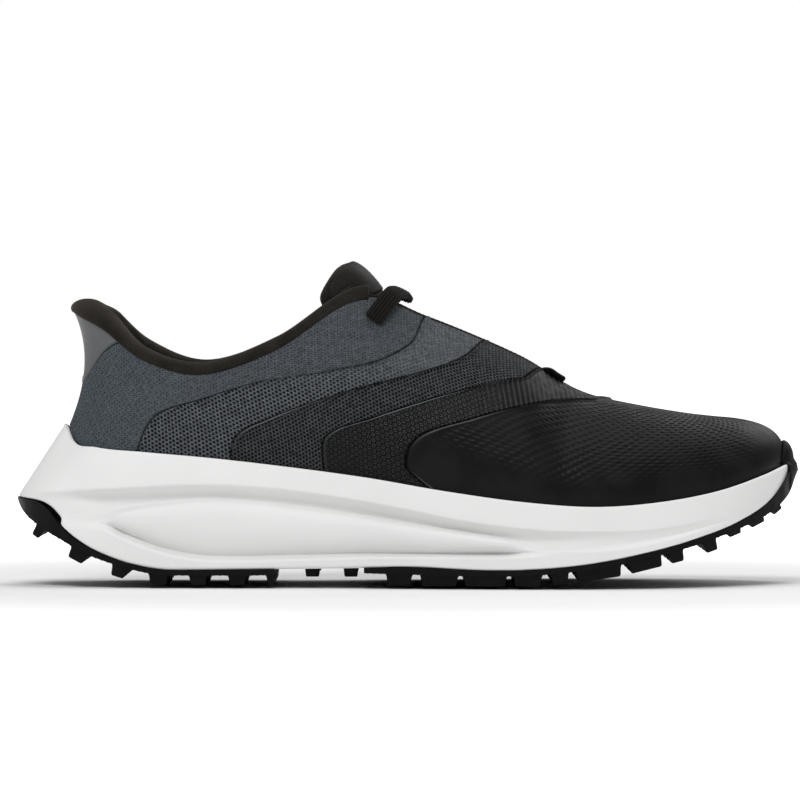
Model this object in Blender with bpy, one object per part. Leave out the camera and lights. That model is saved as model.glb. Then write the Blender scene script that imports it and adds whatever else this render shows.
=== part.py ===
"""Running-style golf shoe, right foot, built as separate pieces.

World frame in metres: +X toe, +Y medial side, +Z up, lowest lugs on z = 0.
Helper functions work in millimetres, and objects are scaled to metres when they are made.
"""
import math

import bmesh
import bpy
import numpy as np
from mathutils import Matrix

MM = 0.001

# ---------------------------------------------------------------- driving outlines, millimetres
# Stations go from the heel centre to the toe tip: feather line (x, y), upper's top edge (x, y, z),
# lower edge of the foam (x, y). From station RIDGE on, the top edge is the crest of the vamp.
LATERAL = [
    ((-131.5, 0.0), (-130.3, 0.0, 107.0), (-151.7, 0.0)),
    ((-128.5, -13.0), (-126.8, -11.5, 105.0), (-146.5, -18.0)),
    ((-119.0, -25.0), (-117.0, -20.5, 99.7), (-131.0, -32.0)),
    ((-100.0, -33.0), (-101.0, -27.5, 87.6), (-104.0, -40.0)),
    ((-75.0, -36.0), (-78.0, -32.0, 82.4), (-75.0, -42.5)),
    ((-45.0, -38.0), (-50.0, -32.5, 92.4), (-45.0, -43.0)),
    ((-15.0, -42.0), (-19.0, -27.5, 111.6), (-15.0, -46.0)),
    ((15.0, -46.5), (8.0, -20.0, 103.6), (15.0, -50.8)),
    ((45.0, -49.5), (42.0, -13.0, 89.4), (45.0, -54.0)),
    ((60.0, -49.6), (59.0, 1.0, 79.6), (60.0, -54.4)),
    ((74.0, -48.3), (72.0, 2.2, 73.6), (74.0, -53.6)),
    ((98.0, -42.5), (92.0, 4.2, 69.2), (99.0, -47.5)),
    ((120.0, -31.5), (107.0, 5.8, 66.8), (122.0, -35.0)),
    ((136.0, -18.0), (116.0, 6.8, 65.6), (138.0, -20.0)),
    ((145.5, -3.5), (120.5, 7.3, 65.1), (147.5, -4.5)),
    ((148.0, 8.0), (121.5, 7.5, 65.0), (149.6, 8.0)),
]
MEDIAL = [
    ((-128.5, 13.0), (-126.8, 11.5, 105.6), (-146.5, 18.0)),
    ((-119.0, 25.0), (-117.0, 20.5, 101.5), (-131.0, 32.0)),
    ((-100.0, 32.5), (-101.0, 27.5, 90.4), (-104.0, 39.5)),
    ((-75.0, 34.0), (-78.0, 31.0, 83.2), (-75.0, 40.5)),
    ((-45.0, 34.0), (-50.0, 31.5, 92.8), (-45.0, 39.0)),
    ((-15.0, 36.5), (-19.0, 27.0, 111.6), (-15.0, 41.0)),
    ((15.0, 41.0), (8.0, 20.0, 103.6), (15.0, 46.0)),
    ((45.0, 46.5), (42.0, 14.5, 89.4), (45.0, 51.8)),
    ((60.0, 49.0), (59.0, 1.0, 79.6), (60.0, 54.2)),
    ((74.0, 49.8), (72.0, 2.2, 73.6), (74.0, 54.8)),
    ((98.0, 47.5), (92.0, 4.2, 69.2), (99.0, 52.0)),
    ((120.0, 40.0), (107.0, 5.8, 66.8), (122.0, 43.5)),
    ((136.0, 30.0), (116.0, 6.8, 65.6), (138.0, 32.8)),
    ((145.0, 19.5), (120.5, 7.3, 65.1), (147.0, 20.5)),
]
TOE = len(LATERAL) - 1
ROUND = 2 * TOE
RIDGE = 9
FACING = 6.2

# Bulge of the upper's side: how far the two middle control points stand out, and how high.
BULGE = [
    (-6.5, 0.35, -7.3, 0.33), (-4.0, 0.33, -6.0, 0.33), (-1.0, 0.33, -3.0, 0.33), (2.0, 0.33, 1.0, 0.33),
    (3.0, 0.35, 4.0, 0.35), (4.0, 0.35, 6.0, 0.35), (4.0, 0.40, 10.0, 0.30), (4.0, 0.42, 16.0, 0.18),
    (3.5, 0.45, 18.0, 0.11), (3.0, 0.47, 21.0, 0.03), (3.0, 0.50, 24.0, 0.0), (2.5, 0.55, 22.0, 0.0),
    (2.0, 0.55, 20.0, 0.0), (1.5, 0.55, 19.0, 0.0), (1.0, 0.55, 20.0, 0.0), (0.5, 0.60, 21.5, 0.0),
]

FEATHER_HEIGHT = [(-131.5, 62.0), (-128.5, 56.0), (-119, 53.2), (-100, 51.4), (-75, 49.2), (-45, 45.8),
                  (-15, 41.8), (15, 36.7), (45, 32.6), (72, 30.8), (98, 32.7), (120, 36.8), (136, 42.0),
                  (148, 46.8)]
RIDGE_HEIGHT = [(59, 79.6), (65, 76.4), (72, 73.6), (87, 70.2), (110, 66.3), (121.5, 65.0)]
BED_HEIGHT = [(-131, 41.0), (-100, 37.5), (-75, 35.5), (-45, 32.5), (-15, 28.5), (15, 25.0), (45, 22.6),
              (72, 21.6), (98, 23.8), (120, 28.2), (136, 33.5), (148, 39.0)]
FOAM_BOTTOM = [(-151.7, 34.0), (-140, 30.9), (-132.5, 22.4), (-124, 16.0), (-113.5, 11.2), (-104, 8.4),
               (-90, 6.6), (-60, 6.9), (-20, 7.5), (0, 8.0), (32, 6.8), (45, 7.0), (68, 9.0), (91, 13.3),
               (110, 18.3), (129, 25.4), (141, 33.0), (147, 40.3), (149.6, 45.0)]
HEEL_TREAD = [(-151.7, 33.2), (-149, 28.9), (-142.5, 23.4), (-132, 17.3), (-124, 12.9), (-113, 8.9),
              (-104, 6.4), (-92, 4.6), (-60, 4.6), (-50, 5.0)]
FORE_TREAD = [(-17, 5.6), (0, 5.2), (32, 4.6), (48, 5.0), (62, 6.3), (78, 8.3), (91, 11.3), (110, 16.0),
              (129, 22.6), (138, 26.5), (146, 32.0), (149.6, 36.5), (152, 42.0)]
RECESS_TOP = [(-129, 36.0), (-109, 37.5), (-79, 39.0), (-55, 38.0), (-29, 35.0), (0, 30.0), (20, 26.0),
              (40, 23.2), (60, 21.8), (80, 21.8), (100, 23.4), (126, 28.6)]
POD_TOP = [(-129, 26.5), (-112, 27.5), (-105, 30.0), (-89, 33.0), (-75, 34.0), (-59, 33.0), (-20, 28.0),
           (10, 23.2), (40, 18.6), (56, 16.0), (80, 16.8), (100, 20.0), (126, 27.0)]
POD_BOTTOM = [(-129, 22.5), (-112, 24.0), (-105, 20.5), (-93, 15.2), (-79, 12.2), (-69, 11.8), (-39, 12.6),
              (-10, 13.3), (20, 13.3), (40, 13.6), (56, 14.0), (80, 14.4), (100, 18.4), (126, 26.0)]

# Panel edges seen from the side, from the feather line to the top edge (x, z).
SEAMS = {
    "rear_band": [(-104, 52), (-98, 64.7), (-78, 72.3), (-55.7, 79), (-29, 83), (-8, 88), (3.4, 95.7),
                  (7, 102.3)],
    "middle_band": [(-68, 49), (-66, 57.5), (-52.7, 64.7), (-22.9, 75), (4.4, 82.3), (19, 87.2), (30, 94)],
    "front_band": [(-32, 44.5), (-31.8, 57), (-13.9, 64.7), (19, 75), (41, 79.9), (52, 82.3)],
    "toe_panel": [(9, 38), (-0.7, 47.3), (1.4, 55.3), (25.3, 64.9), (52.1, 71.1), (64, 72.2), (78, 71.8)],
}
HEEL_PANEL_LOW = 0.34
HEEL_PANEL_REACH = 2.45

# Layers of the upper, measured inwards from its outer face: (outer, inner).
SKIN = (0.0, 0.7)
BASE = (2.0, 3.1)
STIFFENER = (3.7, 4.7)
LINING = (5.2, 6.1)
SEAM_GAP = 0.5
SEAM_ROWS = 17
# Heights of the rows of every layer, closer together towards the vamp's crest.
ROW_HEIGHTS = 1 - (1 - np.linspace(0, 1, 10)) ** 1.4

# ---------------------------------------------------------------- curves


def smooth(points, x):
    """Height read from a smooth curve through (x, z) points, without overshoot."""
    px, pz = np.array(points, float).T
    step = np.diff(px)
    slope = np.diff(pz) / step
    tangent = np.concatenate([slope[:1], (slope[1:] + slope[:-1]) / 2, slope[-1:]])
    tangent[1:-1][slope[1:] * slope[:-1] <= 0] = 0
    x = np.clip(np.asarray(x, float), px[0], px[-1])
    i = np.clip(np.searchsorted(px, x) - 1, 0, len(px) - 2)
    f = (x - px[i]) / step[i]
    rise = (pz[i] * (1 + 2 * f) + tangent[i] * step[i] * f) * (1 - f) ** 2
    return rise + (pz[i + 1] * (3 - 2 * f) - tangent[i + 1] * step[i] * (1 - f)) * f ** 2


def closed_spline(rows, u):
    """Smooth closed curve through the rows, one row for each whole number of u."""
    rows = np.asarray(rows, float)
    u = np.asarray(u, float) % len(rows)
    i = np.floor(u).astype(int)
    f = (u - i)[..., None]
    a, b, c, d = (rows[(i + k) % len(rows)] for k in (-1, 0, 1, 2))
    square = 2 * a - 5 * b + 4 * c - d
    cube = 3 * b - a - 3 * c + d
    return 0.5 * (2 * b + (c - a) * f + square * f ** 2 + cube * f ** 3)


STATIONS = LATERAL + MEDIAL[::-1]
FEATHER_ROWS = [row[0] for row in STATIONS]
TOP_ROWS = [row[1] for row in STATIONS]
SOLE_ROWS = [row[2] for row in STATIONS]
BULGE_ROWS = BULGE + BULGE[-2:0:-1]


def fold(u):
    """Station number on either side: 0 at the heel centre, TOE at the toe tip."""
    u = np.asarray(u, float) % ROUND
    return np.minimum(u, ROUND - u)


def feather(u):
    plan = closed_spline(FEATHER_ROWS, u)
    return np.concatenate([plan, smooth(FEATHER_HEIGHT, plan[..., 0])[..., None]], axis=-1)


def outward(u, rows=FEATHER_ROWS):
    """Horizontal unit vector that points out of the shoe, square to its outline."""
    run = closed_spline(rows, np.asarray(u) + 0.05) - closed_spline(rows, np.asarray(u) - 0.05)
    side = np.stack([run[..., 1], -run[..., 0], np.zeros(run.shape[:-1])], axis=-1)
    return side / np.linalg.norm(side, axis=-1, keepdims=True)


def ridge_slope(x):
    return (smooth(RIDGE_HEIGHT, np.asarray(x) + 0.5) - smooth(RIDGE_HEIGHT, np.asarray(x) - 0.5)) / 1.0


def top_edge(u):
    """Top edge of the upper; both sides share the crest from station RIDGE on."""
    u = np.asarray(u, float)
    edge = closed_spline(TOP_ROWS, u)
    crest = (edge + closed_spline(TOP_ROWS, ROUND - u)) / 2
    crest[..., 2] = smooth(RIDGE_HEIGHT, crest[..., 0])
    closing = np.clip(fold(u) - (RIDGE - 1), 0, 1)
    edge[..., 1] = crest[..., 1] + (edge[..., 1] - crest[..., 1]) * (1 - closing ** 2) ** 0.6
    return np.where((fold(u) >= RIDGE)[..., None], crest, edge)


def wall(u, v):
    """Outer face of the upper: v = 0 on the feather line, 1 on the top edge, below 0 inside the cup."""
    u, v = np.broadcast_arrays(np.asarray(u, float), np.asarray(v, float))
    foot = feather(u)
    head = top_edge(u)
    side = outward(u)
    out_low, up_low, out_high, down_high = np.moveaxis(closed_spline(BULGE_ROWS, u), -1, 0)
    height = (head - foot)[..., 2]
    low = foot + side * out_low[..., None]
    low[..., 2] += up_low * height
    high = head + side * out_high[..., None]
    high[..., 2] -= np.maximum(down_high, 0) * height
    crest = fold(u) >= RIDGE
    high[..., 2] += np.where(crest, ridge_slope(head[..., 0]) * side[..., 0] * out_high, 0)
    t = np.clip(v, 0, 1)[..., None]
    point = foot * (1 - t) ** 3 + 3 * low * t * (1 - t) ** 2 + 3 * high * t ** 2 * (1 - t) + head * t ** 3
    drop = np.minimum(v, 0)[..., None] * (foot[..., 2] - smooth(BED_HEIGHT, foot[..., 0]) - 0.6)[..., None]
    return point + side * drop * 0.12 + np.array([0, 0, 1.0]) * drop


def upper(u, v, inset):
    """Point on the upper's wall moved inwards by inset."""
    u, v = np.broadcast_arrays(np.asarray(u, float), np.asarray(v, float))
    h = 0.01
    along = wall(u + h, np.clip(v, 0, 1)) - wall(u - h, np.clip(v, 0, 1))
    across = wall(u, np.clip(v + h, h, 1)) - wall(u, np.clip(v - h, 0, 1 - h))
    normal = np.cross(along, across)
    normal /= np.maximum(np.linalg.norm(normal, axis=-1, keepdims=True), 1e-9)
    normal = np.where((v < 0)[..., None], outward(u), normal)
    slope = ridge_slope(top_edge(u)[..., 0])
    level = np.stack([-slope, np.zeros_like(slope), np.ones_like(slope)], axis=-1)
    level /= np.linalg.norm(level, axis=-1, keepdims=True)
    on_crest = (fold(u) >= RIDGE) & (v > 0.999)
    normal = np.where(on_crest[..., None], level, normal)
    return wall(u, v) - normal * np.asarray(inset, float)[..., None]


def station_at(x, edge=feather, low=0.0, high=TOE):
    """Station where the given edge passes x."""
    u = np.linspace(low, high, 1501)
    return float(np.interp(x, edge(u)[..., 0], u))


def locate(x, z):
    """Station and v of the lateral wall's point that is seen at (x, z) from the side."""
    u_mid, v_mid, u_half, v_half = TOE / 2, 0.5, TOE / 2, 0.5
    for _ in range(7):
        u = np.linspace(max(0, u_mid - u_half), min(TOE, u_mid + u_half), 41)
        v = np.linspace(max(0, v_mid - v_half), min(1, v_mid + v_half), 41)
        point = wall(u[:, None], v[None, :])
        miss = (point[..., 0] - x) ** 2 + (point[..., 2] - z) ** 2
        i, j = np.unravel_index(np.argmin(miss), miss.shape)
        u_mid, v_mid = u[i], v[j]
        u_half, v_half = u_half / 5, v_half / 5
    return u_mid, v_mid


def seam(name):
    """Panel edge from the feather line to the top edge, as points (station, v) evenly spaced along it."""
    points = evenly(SEAMS[name], SEAM_ROWS)
    spots = [(station_at(points[0][0]), 0.0)]
    spots += [locate(x, z) for x, z in points[1:-1]]
    spots.append((station_at(points[-1][0], top_edge, FACING, TOE), 1.0))
    return np.array(spots)


def evenly(points, count):
    """Smooth curve through points, read at evenly spaced places along it."""
    points = np.array(points, float)
    run = np.concatenate([[0], np.cumsum(np.linalg.norm(np.diff(points, axis=0), axis=1))])
    where = np.linspace(0, run[-1], count)
    return np.stack([smooth(np.stack([run, column], axis=1), where) for column in points.T], axis=1)


# ---------------------------------------------------------------- solids


class Sheet:
    """A sheet whose every vertex has an outer and an inner point, closed into a solid."""

    def __init__(self):
        self.outer = []
        self.inner = []
        self.index = {}
        self.faces = []

    def vertex(self, outer, inner):
        key = tuple(np.round(outer, 3) + 0.0)
        if key not in self.index:
            self.index[key] = len(self.outer)
            self.outer.append(outer)
            self.inner.append(inner)
        return self.index[key]

    def grid(self, outer, inner, closed=False):
        """Adds quads over two matching grids of points; closed joins the last row to the first."""
        ids = [[self.vertex(o, i) for o, i in zip(row_o, row_i)] for row_o, row_i in zip(outer, inner)]
        if closed:
            ids.append(ids[0])
        for a, b in zip(ids, ids[1:]):
            for j in range(len(a) - 1):
                face = list(dict.fromkeys([a[j], b[j], b[j + 1], a[j + 1]]))
                if len(face) > 2:
                    self.faces.append(face)

    def solid(self, name, material):
        mesh = bmesh.new()
        outer = [mesh.verts.new(p * MM) for p in self.outer]
        inner = [mesh.verts.new(p * MM) for p in self.inner]
        edges = {}
        for face in self.faces:
            mesh.faces.new([outer[k] for k in face])
            mesh.faces.new([inner[k] for k in reversed(face)])
            for a, b in zip(face, face[1:] + face[:1]):
                edges.setdefault(frozenset((a, b)), []).append((a, b))
        for uses in edges.values():
            if len(uses) == 1:
                a, b = uses[0]
                mesh.faces.new([outer[b], outer[a], inner[a], inner[b]])
        return add_object(name, mesh, material)


def add_object(name, mesh, material):
    """Turns a bmesh into a named object with smooth shading, and returns it."""
    bmesh.ops.recalc_face_normals(mesh, faces=mesh.faces)
    for face in mesh.faces:
        face.smooth = True
    data = bpy.data.meshes.new(name)
    mesh.to_mesh(data)
    mesh.free()
    data.materials.append(material)
    data.set_sharp_from_angle(angle=math.radians(40))
    thing = bpy.data.objects.new(name, data)
    bpy.context.scene.collection.objects.link(thing)
    return thing


def swept(name, loops, material):
    """Solid through matching closed loops of points, capped at both ends."""
    mesh = bmesh.new()
    rings = [[mesh.verts.new(np.asarray(p) * MM) for p in loop] for loop in loops]
    for a, b in zip(rings, rings[1:]):
        for j in range(len(a)):
            k = (j + 1) % len(a)
            mesh.faces.new([a[j], a[k], b[k], b[j]])
    mesh.faces.new(rings[0])
    mesh.faces.new(list(reversed(rings[-1])))
    return add_object(name, mesh, material)


def layer(name, material, u, v, inset, closed=False):
    """Solid layer of the upper over a grid of stations u and heights v."""
    u, v = np.broadcast_arrays(np.asarray(u, float), np.asarray(v, float))
    sheet = Sheet()
    sheet.grid(upper(u, v, inset[0]), upper(u, v, inset[1]), closed)
    return sheet.solid(name, material)


def material(name, colour, roughness, metallic=0.0):
    made = bpy.data.materials.new(name)
    made.use_nodes = True
    shader = made.node_tree.nodes["Principled BSDF"]
    shader.inputs["Base Color"].default_value = (*colour, 1.0)
    shader.inputs["Roughness"].default_value = roughness
    shader.inputs["Metallic"].default_value = metallic
    made.diffuse_color = (*colour, 1.0)
    return made


# ---------------------------------------------------------------- sole


def sole_edge(u):
    plan = closed_spline(SOLE_ROWS, u)
    return np.concatenate([plan, smooth(FOAM_BOTTOM, plan[..., 0])[..., None]], axis=-1)


def ladder(stations, columns, edge, height):
    """Grid across the shoe between the lateral and medial edges, columns running from 0 to 1."""
    stations = np.asarray(stations, float)
    across = np.asarray(columns, float)[None, :, None]
    near, far = edge(stations), edge(ROUND - stations)
    grid = near[:, None, :] * (1 - across) + far[:, None, :] * across
    grid[..., 2] = height(grid[..., 0])
    return grid


# Places along the sole where its solids have an edge; the lugs start and stop on them.
SOLE_X = [-150.5, -146.5, -143, -139.5, -136, -132.5, -129, -122.5, -113, -107, -99, -91.5, -83.5, -76.5,
          -68.5, -61.5, -54, -36, -16.5, 5, 21.5, 38, 54.5, 64, 73.5, 84, 91.5, 99.5, 105.5, 113, 118.5, 123,
          128.5, 132, 138]
TOE_STATIONS = [13.5, 14.0, 14.5, float(TOE)]
SOLE_STATIONS = np.array([0.0] + [station_at(x, sole_edge) for x in SOLE_X] + TOE_STATIONS)
SOLE_COLUMNS = np.linspace(0, 1, 5)


def fade(x, none, full):
    """Smooth step from 0 where x is none to 1 where x is full."""
    share = np.clip((x - none) / (full - none), 0, 1)
    return share ** 2 * (3 - 2 * share)


def foam_rings(u):
    """Rings of the foam's side, from the rim inside the cup to the lower edge, with its long recess."""
    foot, edge, side = feather(u), sole_edge(u), outward(u)
    lip = foot + side * 2.2
    lip[..., 2] -= 0.3
    x = foot[..., 0]
    sculpt = fade(x, -128, -104) * fade(x, 126, 92)
    pod = fade(x, -120, -98) * fade(x, 66, 34)
    lines = [smooth(RECESS_TOP, x), smooth(POD_TOP, x), (smooth(POD_TOP, x) + smooth(POD_BOTTOM, x)) / 2,
             smooth(POD_BOTTOM, x), (smooth(POD_BOTTOM, x) + edge[..., 2]) / 2 - 0.3]
    swell = [2.0 * sculpt, -2.6 * sculpt, (3.6 * pod - 2.0) * sculpt, -1.8 * sculpt, 1.4 * sculpt]
    shares = [0.36, 0.52, 0.64, 0.76, 0.88]
    inner = foot + side * 0.4
    inner[..., 2] -= 0.8
    rings = [inner, lip]
    middle = lip + (edge - lip) * 0.18 + side * 0.8 * sculpt[..., None]
    rings.append(middle)
    for line, out, share in zip(lines, swell, shares):
        even = lip[..., 2] + (edge - lip)[..., 2] * share
        z = even + (line - even) * sculpt
        fall = ((lip[..., 2] - z) / (lip - edge)[..., 2])[..., None]
        point = lip + (edge - lip) * fall + side * out[..., None]
        rings.append(point)
    rings.append(edge)
    return rings


def add_midsole(foam):
    """Foam cup: footbed on top, sculpted side, flat underside."""
    around = np.concatenate([SOLE_STATIONS, ROUND - SOLE_STATIONS[-2:0:-1]])
    mesh = bmesh.new()
    points = {}

    def vert(p):
        key = tuple(np.round(p, 3) + 0.0)
        if key not in points:
            points[key] = mesh.verts.new(np.asarray(p) * MM)
        return points[key]

    def quads(grid):
        for a, b in zip(grid, grid[1:]):
            for j in range(len(a) - 1):
                face = list(dict.fromkeys(vert(p) for p in (a[j], a[j + 1], b[j + 1], b[j])))
                if len(face) > 2:
                    mesh.faces.new(face)

    def bed_edge(u):
        return feather(u) - outward(u) * 2.2

    bed = ladder(SOLE_STATIONS, SOLE_COLUMNS, bed_edge, lambda x: smooth(BED_HEIGHT, x))
    rim = bed_edge(around)
    rim[..., 2] = smooth(BED_HEIGHT, rim[..., 0])
    rings = [rim] + foam_rings(around)
    quads(bed)
    quads([np.concatenate([ring, ring[:1]]) for ring in rings])
    quads(ladder(SOLE_STATIONS, SOLE_COLUMNS, sole_edge, lambda x: smooth(FOAM_BOTTOM, x)))
    return add_object("midsole", mesh, foam)


LUG_COLUMNS = [0.0, 0.17, 0.26, 0.43, 0.57, 0.74, 0.83, 1.0]
LUG_DEPTH = 4.3
LUG_TAPER = 0.8


def add_lugs(thing, spans, rest):
    """Draws lugs down from the tread faces that lie in the given x spans; rest is the flat zone."""
    mesh = bmesh.new()
    mesh.from_mesh(thing.data)
    mesh.faces.ensure_lookup_table()
    chosen = []
    for face in mesh.faces:
        if face.normal.z > -0.3 or len(face.verts) != 4:
            continue
        middle = face.calc_center_median() / MM
        near, far = tread_edges(middle.x)
        share = (middle.y - near) / max(far - near, 1.0)
        column = np.searchsorted(LUG_COLUMNS, share) - 1
        if column % 2 == 0 and any(low < middle.x < high for low, high in spans):
            chosen.append((face, column))
    made = bmesh.ops.extrude_discrete_faces(mesh, faces=[face for face, _ in chosen])["faces"]
    for face, (_, column) in zip(made, chosen):
        middle = face.calc_center_median()
        flat = rest[0] < middle.x / MM < rest[1]
        edge_lug = column in (0, len(LUG_COLUMNS) - 2)
        for vert in face.verts:
            vert.co = middle + (vert.co - middle) * LUG_TAPER
            if flat:
                vert.co.z = (0.8 if edge_lug else 0.0) * MM
            else:
                vert.co += face.normal * LUG_DEPTH * MM
    bmesh.ops.recalc_face_normals(mesh, faces=mesh.faces)
    mesh.to_mesh(thing.data)
    mesh.free()
    thing.data.set_sharp_from_angle(angle=math.radians(40))


def tread_edges(x):
    """Lateral and medial y of the sole's edge at x."""
    u = np.linspace(0, TOE, 601)
    near, far = sole_edge(u), sole_edge(ROUND - u)
    return np.interp(x, near[:, 0], near[:, 1]), np.interp(x, far[:, 0], far[:, 1])


def tread_sheet(stations, tread):
    """Rubber sheet under the foam, with columns for the lugs."""
    top = ladder(stations, LUG_COLUMNS, sole_edge, lambda x: smooth(FOAM_BOTTOM, x) - 0.35)
    bottom = ladder(stations, LUG_COLUMNS, sole_edge, lambda x: smooth(tread, x))
    sheet = Sheet()
    sheet.grid(bottom, top)
    return sheet


HEEL_LUGS = [(-143, -139.5), (-129, -122.5), (-113, -107), (-99, -91.5), (-83.5, -76.5), (-68.5, -61.5),
             (-54, -50.5)]
FORE_LUGS = [(-8, 2), (5, 19.5), (21.5, 38), (40.5, 51.5), (54.5, 61.5), (64, 71.5), (73.5, 81.5), (84, 90),
             (91.5, 97), (99.5, 105.5), (113, 118.5), (123, 128.5), (132, 138)]


def add_heel_outsole(rubber):
    edges = sorted({x for x in SOLE_X if x < -129} | {x for span in HEEL_LUGS for x in span})
    stations = [0.0] + [station_at(x, sole_edge) for x in edges]
    thing = tread_sheet(stations, HEEL_TREAD).solid("heel_outsole", rubber)
    add_lugs(thing, HEEL_LUGS, (-101, -59))


def add_forefoot_outsole(rubber):
    """Forefoot rubber that turns up over the toe as a bumper."""
    edges = [-16.5] + [x for span in FORE_LUGS for x in span]
    stations = [station_at(x, sole_edge) for x in edges] + TOE_STATIONS
    sheet = Sheet()
    top = ladder(stations, LUG_COLUMNS, sole_edge, lambda x: smooth(FOAM_BOTTOM, x) - 0.35)
    bottom = ladder(stations, LUG_COLUMNS, toe_swell, lambda x: smooth(FORE_TREAD, x))
    sheet.grid(bottom, top)
    around = np.array([13.5, 14.0, 14.5, 15.0, 15.5, 16.0, 16.5])
    front = toe_swell(around)
    front[..., 2] = smooth(FORE_TREAD, front[..., 0])
    back = sole_edge(around)
    back[..., 2] -= 0.35
    grow = np.cos((around - TOE) / 1.6 * math.pi / 2)
    lip = feather(around) + outward(around) * 2.7
    inner = [back, lip]
    outer = [front, lip + outward(around) * (0.4 + 1.4 * grow[:, None])]
    for rise, thick in ((0.10, 2.6), (0.18, 2.5), (0.27, 1.6)):
        v = 0.03 + rise * grow
        inner.append(upper(around, v, -0.6 + 0 * v))
        outer.append(upper(around, v, -1.0 - thick * grow))
    sheet.grid(np.array(outer), np.array(inner))
    thing = sheet.solid("forefoot_outsole", rubber)
    add_lugs(thing, FORE_LUGS, (4, 53))


def toe_swell(u):
    """Edge of the rubber, which stands out a little round the toe."""
    near_toe = np.clip((fold(u) - 12.0) / 3.0, 0, 1)[..., None]
    return sole_edge(u) + outward(u, SOLE_ROWS) * 2.4 * near_toe ** 2


def add_studs(rubber):
    """Small rubber studs under the bare foam of the midfoot."""
    for name, x, y, length, width in (("stud_lateral_rear", -36.3, -30, 5.8, 14),
                                      ("stud_lateral_front", -21.5, -31, 6.0, 14),
                                      ("stud_medial_rear", -36.3, 26, 5.8, 14),
                                      ("stud_medial_front", -21.5, 26, 6.0, 14)):
        top = smooth(FOAM_BOTTOM, x) - 0.45
        loops = []
        for z, grow in ((top, 1.0), (3.9, 0.75)):
            dx, dy = length / 2 * grow, width / 2 * grow
            loops.append([(x - dx, y - dy, z), (x + dx, y - dy, z), (x + dx, y + dy, z), (x - dx, y + dy, z)])
        swept(name, loops, rubber)


def plate(name, look, inset, low, high, first=0.0, last=float(TOE), count=22):
    """Plate that lies across the shoe above the footbed, between two heights over it."""
    stations = np.linspace(first, last, count)

    def edge(u):
        return feather(u) - outward(u) * inset

    bottom = ladder(stations, SOLE_COLUMNS, edge, lambda x: smooth(BED_HEIGHT, x) + low)
    top = ladder(stations, SOLE_COLUMNS, edge, lambda x: smooth(BED_HEIGHT, x) + high)
    sheet = Sheet()
    sheet.grid(bottom, top)
    return sheet.solid(name, look)


# ---------------------------------------------------------------- upper


def ring_stations():
    """Stations round the whole upper."""
    rear, slot_end, front = np.linspace(0, 8.5, 18), [8.75, 9.0, 9.3], np.linspace(9.7, TOE, 10)
    side = np.concatenate([rear, slot_end, front])
    return np.concatenate([side, ROUND - side[-2:0:-1]])


def add_base(textile):
    """Stretch bootie under all the outer panels, from the footbed's edge to the top edge."""
    u = ring_stations()[:, None]
    v = np.concatenate([[-1.0], ROW_HEIGHTS])[None, :]
    layer("bootie_textile", textile, u, v, BASE, closed=True)


def inset_seam(curve, side):
    """Seam moved by half the gap: side 1 moves it towards the toe, -1 towards the heel."""
    run = np.gradient(curve * [28, 70], axis=0)
    run /= np.linalg.norm(run, axis=1, keepdims=True)
    moved = curve + side * SEAM_GAP * np.stack([run[:, 1] / 28, -run[:, 0] / 70], axis=1)
    moved[:, 1] = np.clip(moved[:, 1], 0, 1)
    moved[0, 1], moved[-1, 1] = 0, 1
    return moved


def between(rear, front, columns, side):
    """Stations and heights between two curves, on the lateral (-1) or medial (1) side."""
    share = np.linspace(0, 1, columns)[:, None, None]
    spots = rear[None] * (1 - share) + front[None] * share
    u, v = spots[..., 0], spots[..., 1]
    return (u if side < 0 else ROUND - u), v


def heel_panel_edge(u):
    """Lower edge of the heel panel as a v, rising from the heel centre to the top edge."""
    share = np.clip(fold(u) / HEEL_PANEL_REACH, 0, 1)
    return HEEL_PANEL_LOW + (1 - HEEL_PANEL_LOW) * (0.35 * share + 0.65 * share ** 2)


def add_quarter(name, look, side, front):
    """Rear side panel from the back seam to the first band, cut out round the heel panel."""
    reach = np.linspace(0.008, HEEL_PANEL_REACH, 7)
    low = [(0.008, 0.0)] + [(u, heel_panel_edge(u) - 0.02) for u in reach[:-1]] + [(reach[-1], 1.0)]
    high = [(u, 1.0) for u in np.linspace(HEEL_PANEL_REACH, 6.0, SEAM_ROWS - len(low) + 1)[1:]]
    rear = np.array(low + high)
    u, v = between(rear, inset_seam(front, -1), 9, side)
    layer(name, look, u, v, SKIN)


def add_heel_panel(look):
    """Smooth flared panel over the top of the heel."""
    u = np.linspace(-HEEL_PANEL_REACH * 0.96, HEEL_PANEL_REACH * 0.96, 17)[:, None]
    low = heel_panel_edge(u)
    v = low + (1 - low) * np.linspace(0, 1, 7)[None, :]
    layer("heel_panel", look, u, v, SKIN)


def add_front_band(look, start, stop):
    """Band that crosses the vamp in front of the throat, one piece on both sides."""
    sheet = Sheet()
    for side in (-1, 1):
        u, v = between(inset_seam(start, 1), inset_seam(stop, -1), 6, side)
        sheet.grid(upper(u, v, SKIN[0]), upper(u, v, SKIN[1]))
    sheet.solid("front_band", look)


def add_toe_panel(look, start):
    tip = np.stack([np.full(SEAM_ROWS, float(TOE)), np.linspace(0, 1, SEAM_ROWS)], axis=1)
    u, v = between(inset_seam(start, 1), tip, 13, -1)
    u = np.concatenate([u, ROUND - u[-2::-1]])
    v = np.concatenate([v, v[-2::-1]])
    layer("toe_panel", look, u, v, SKIN)


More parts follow.
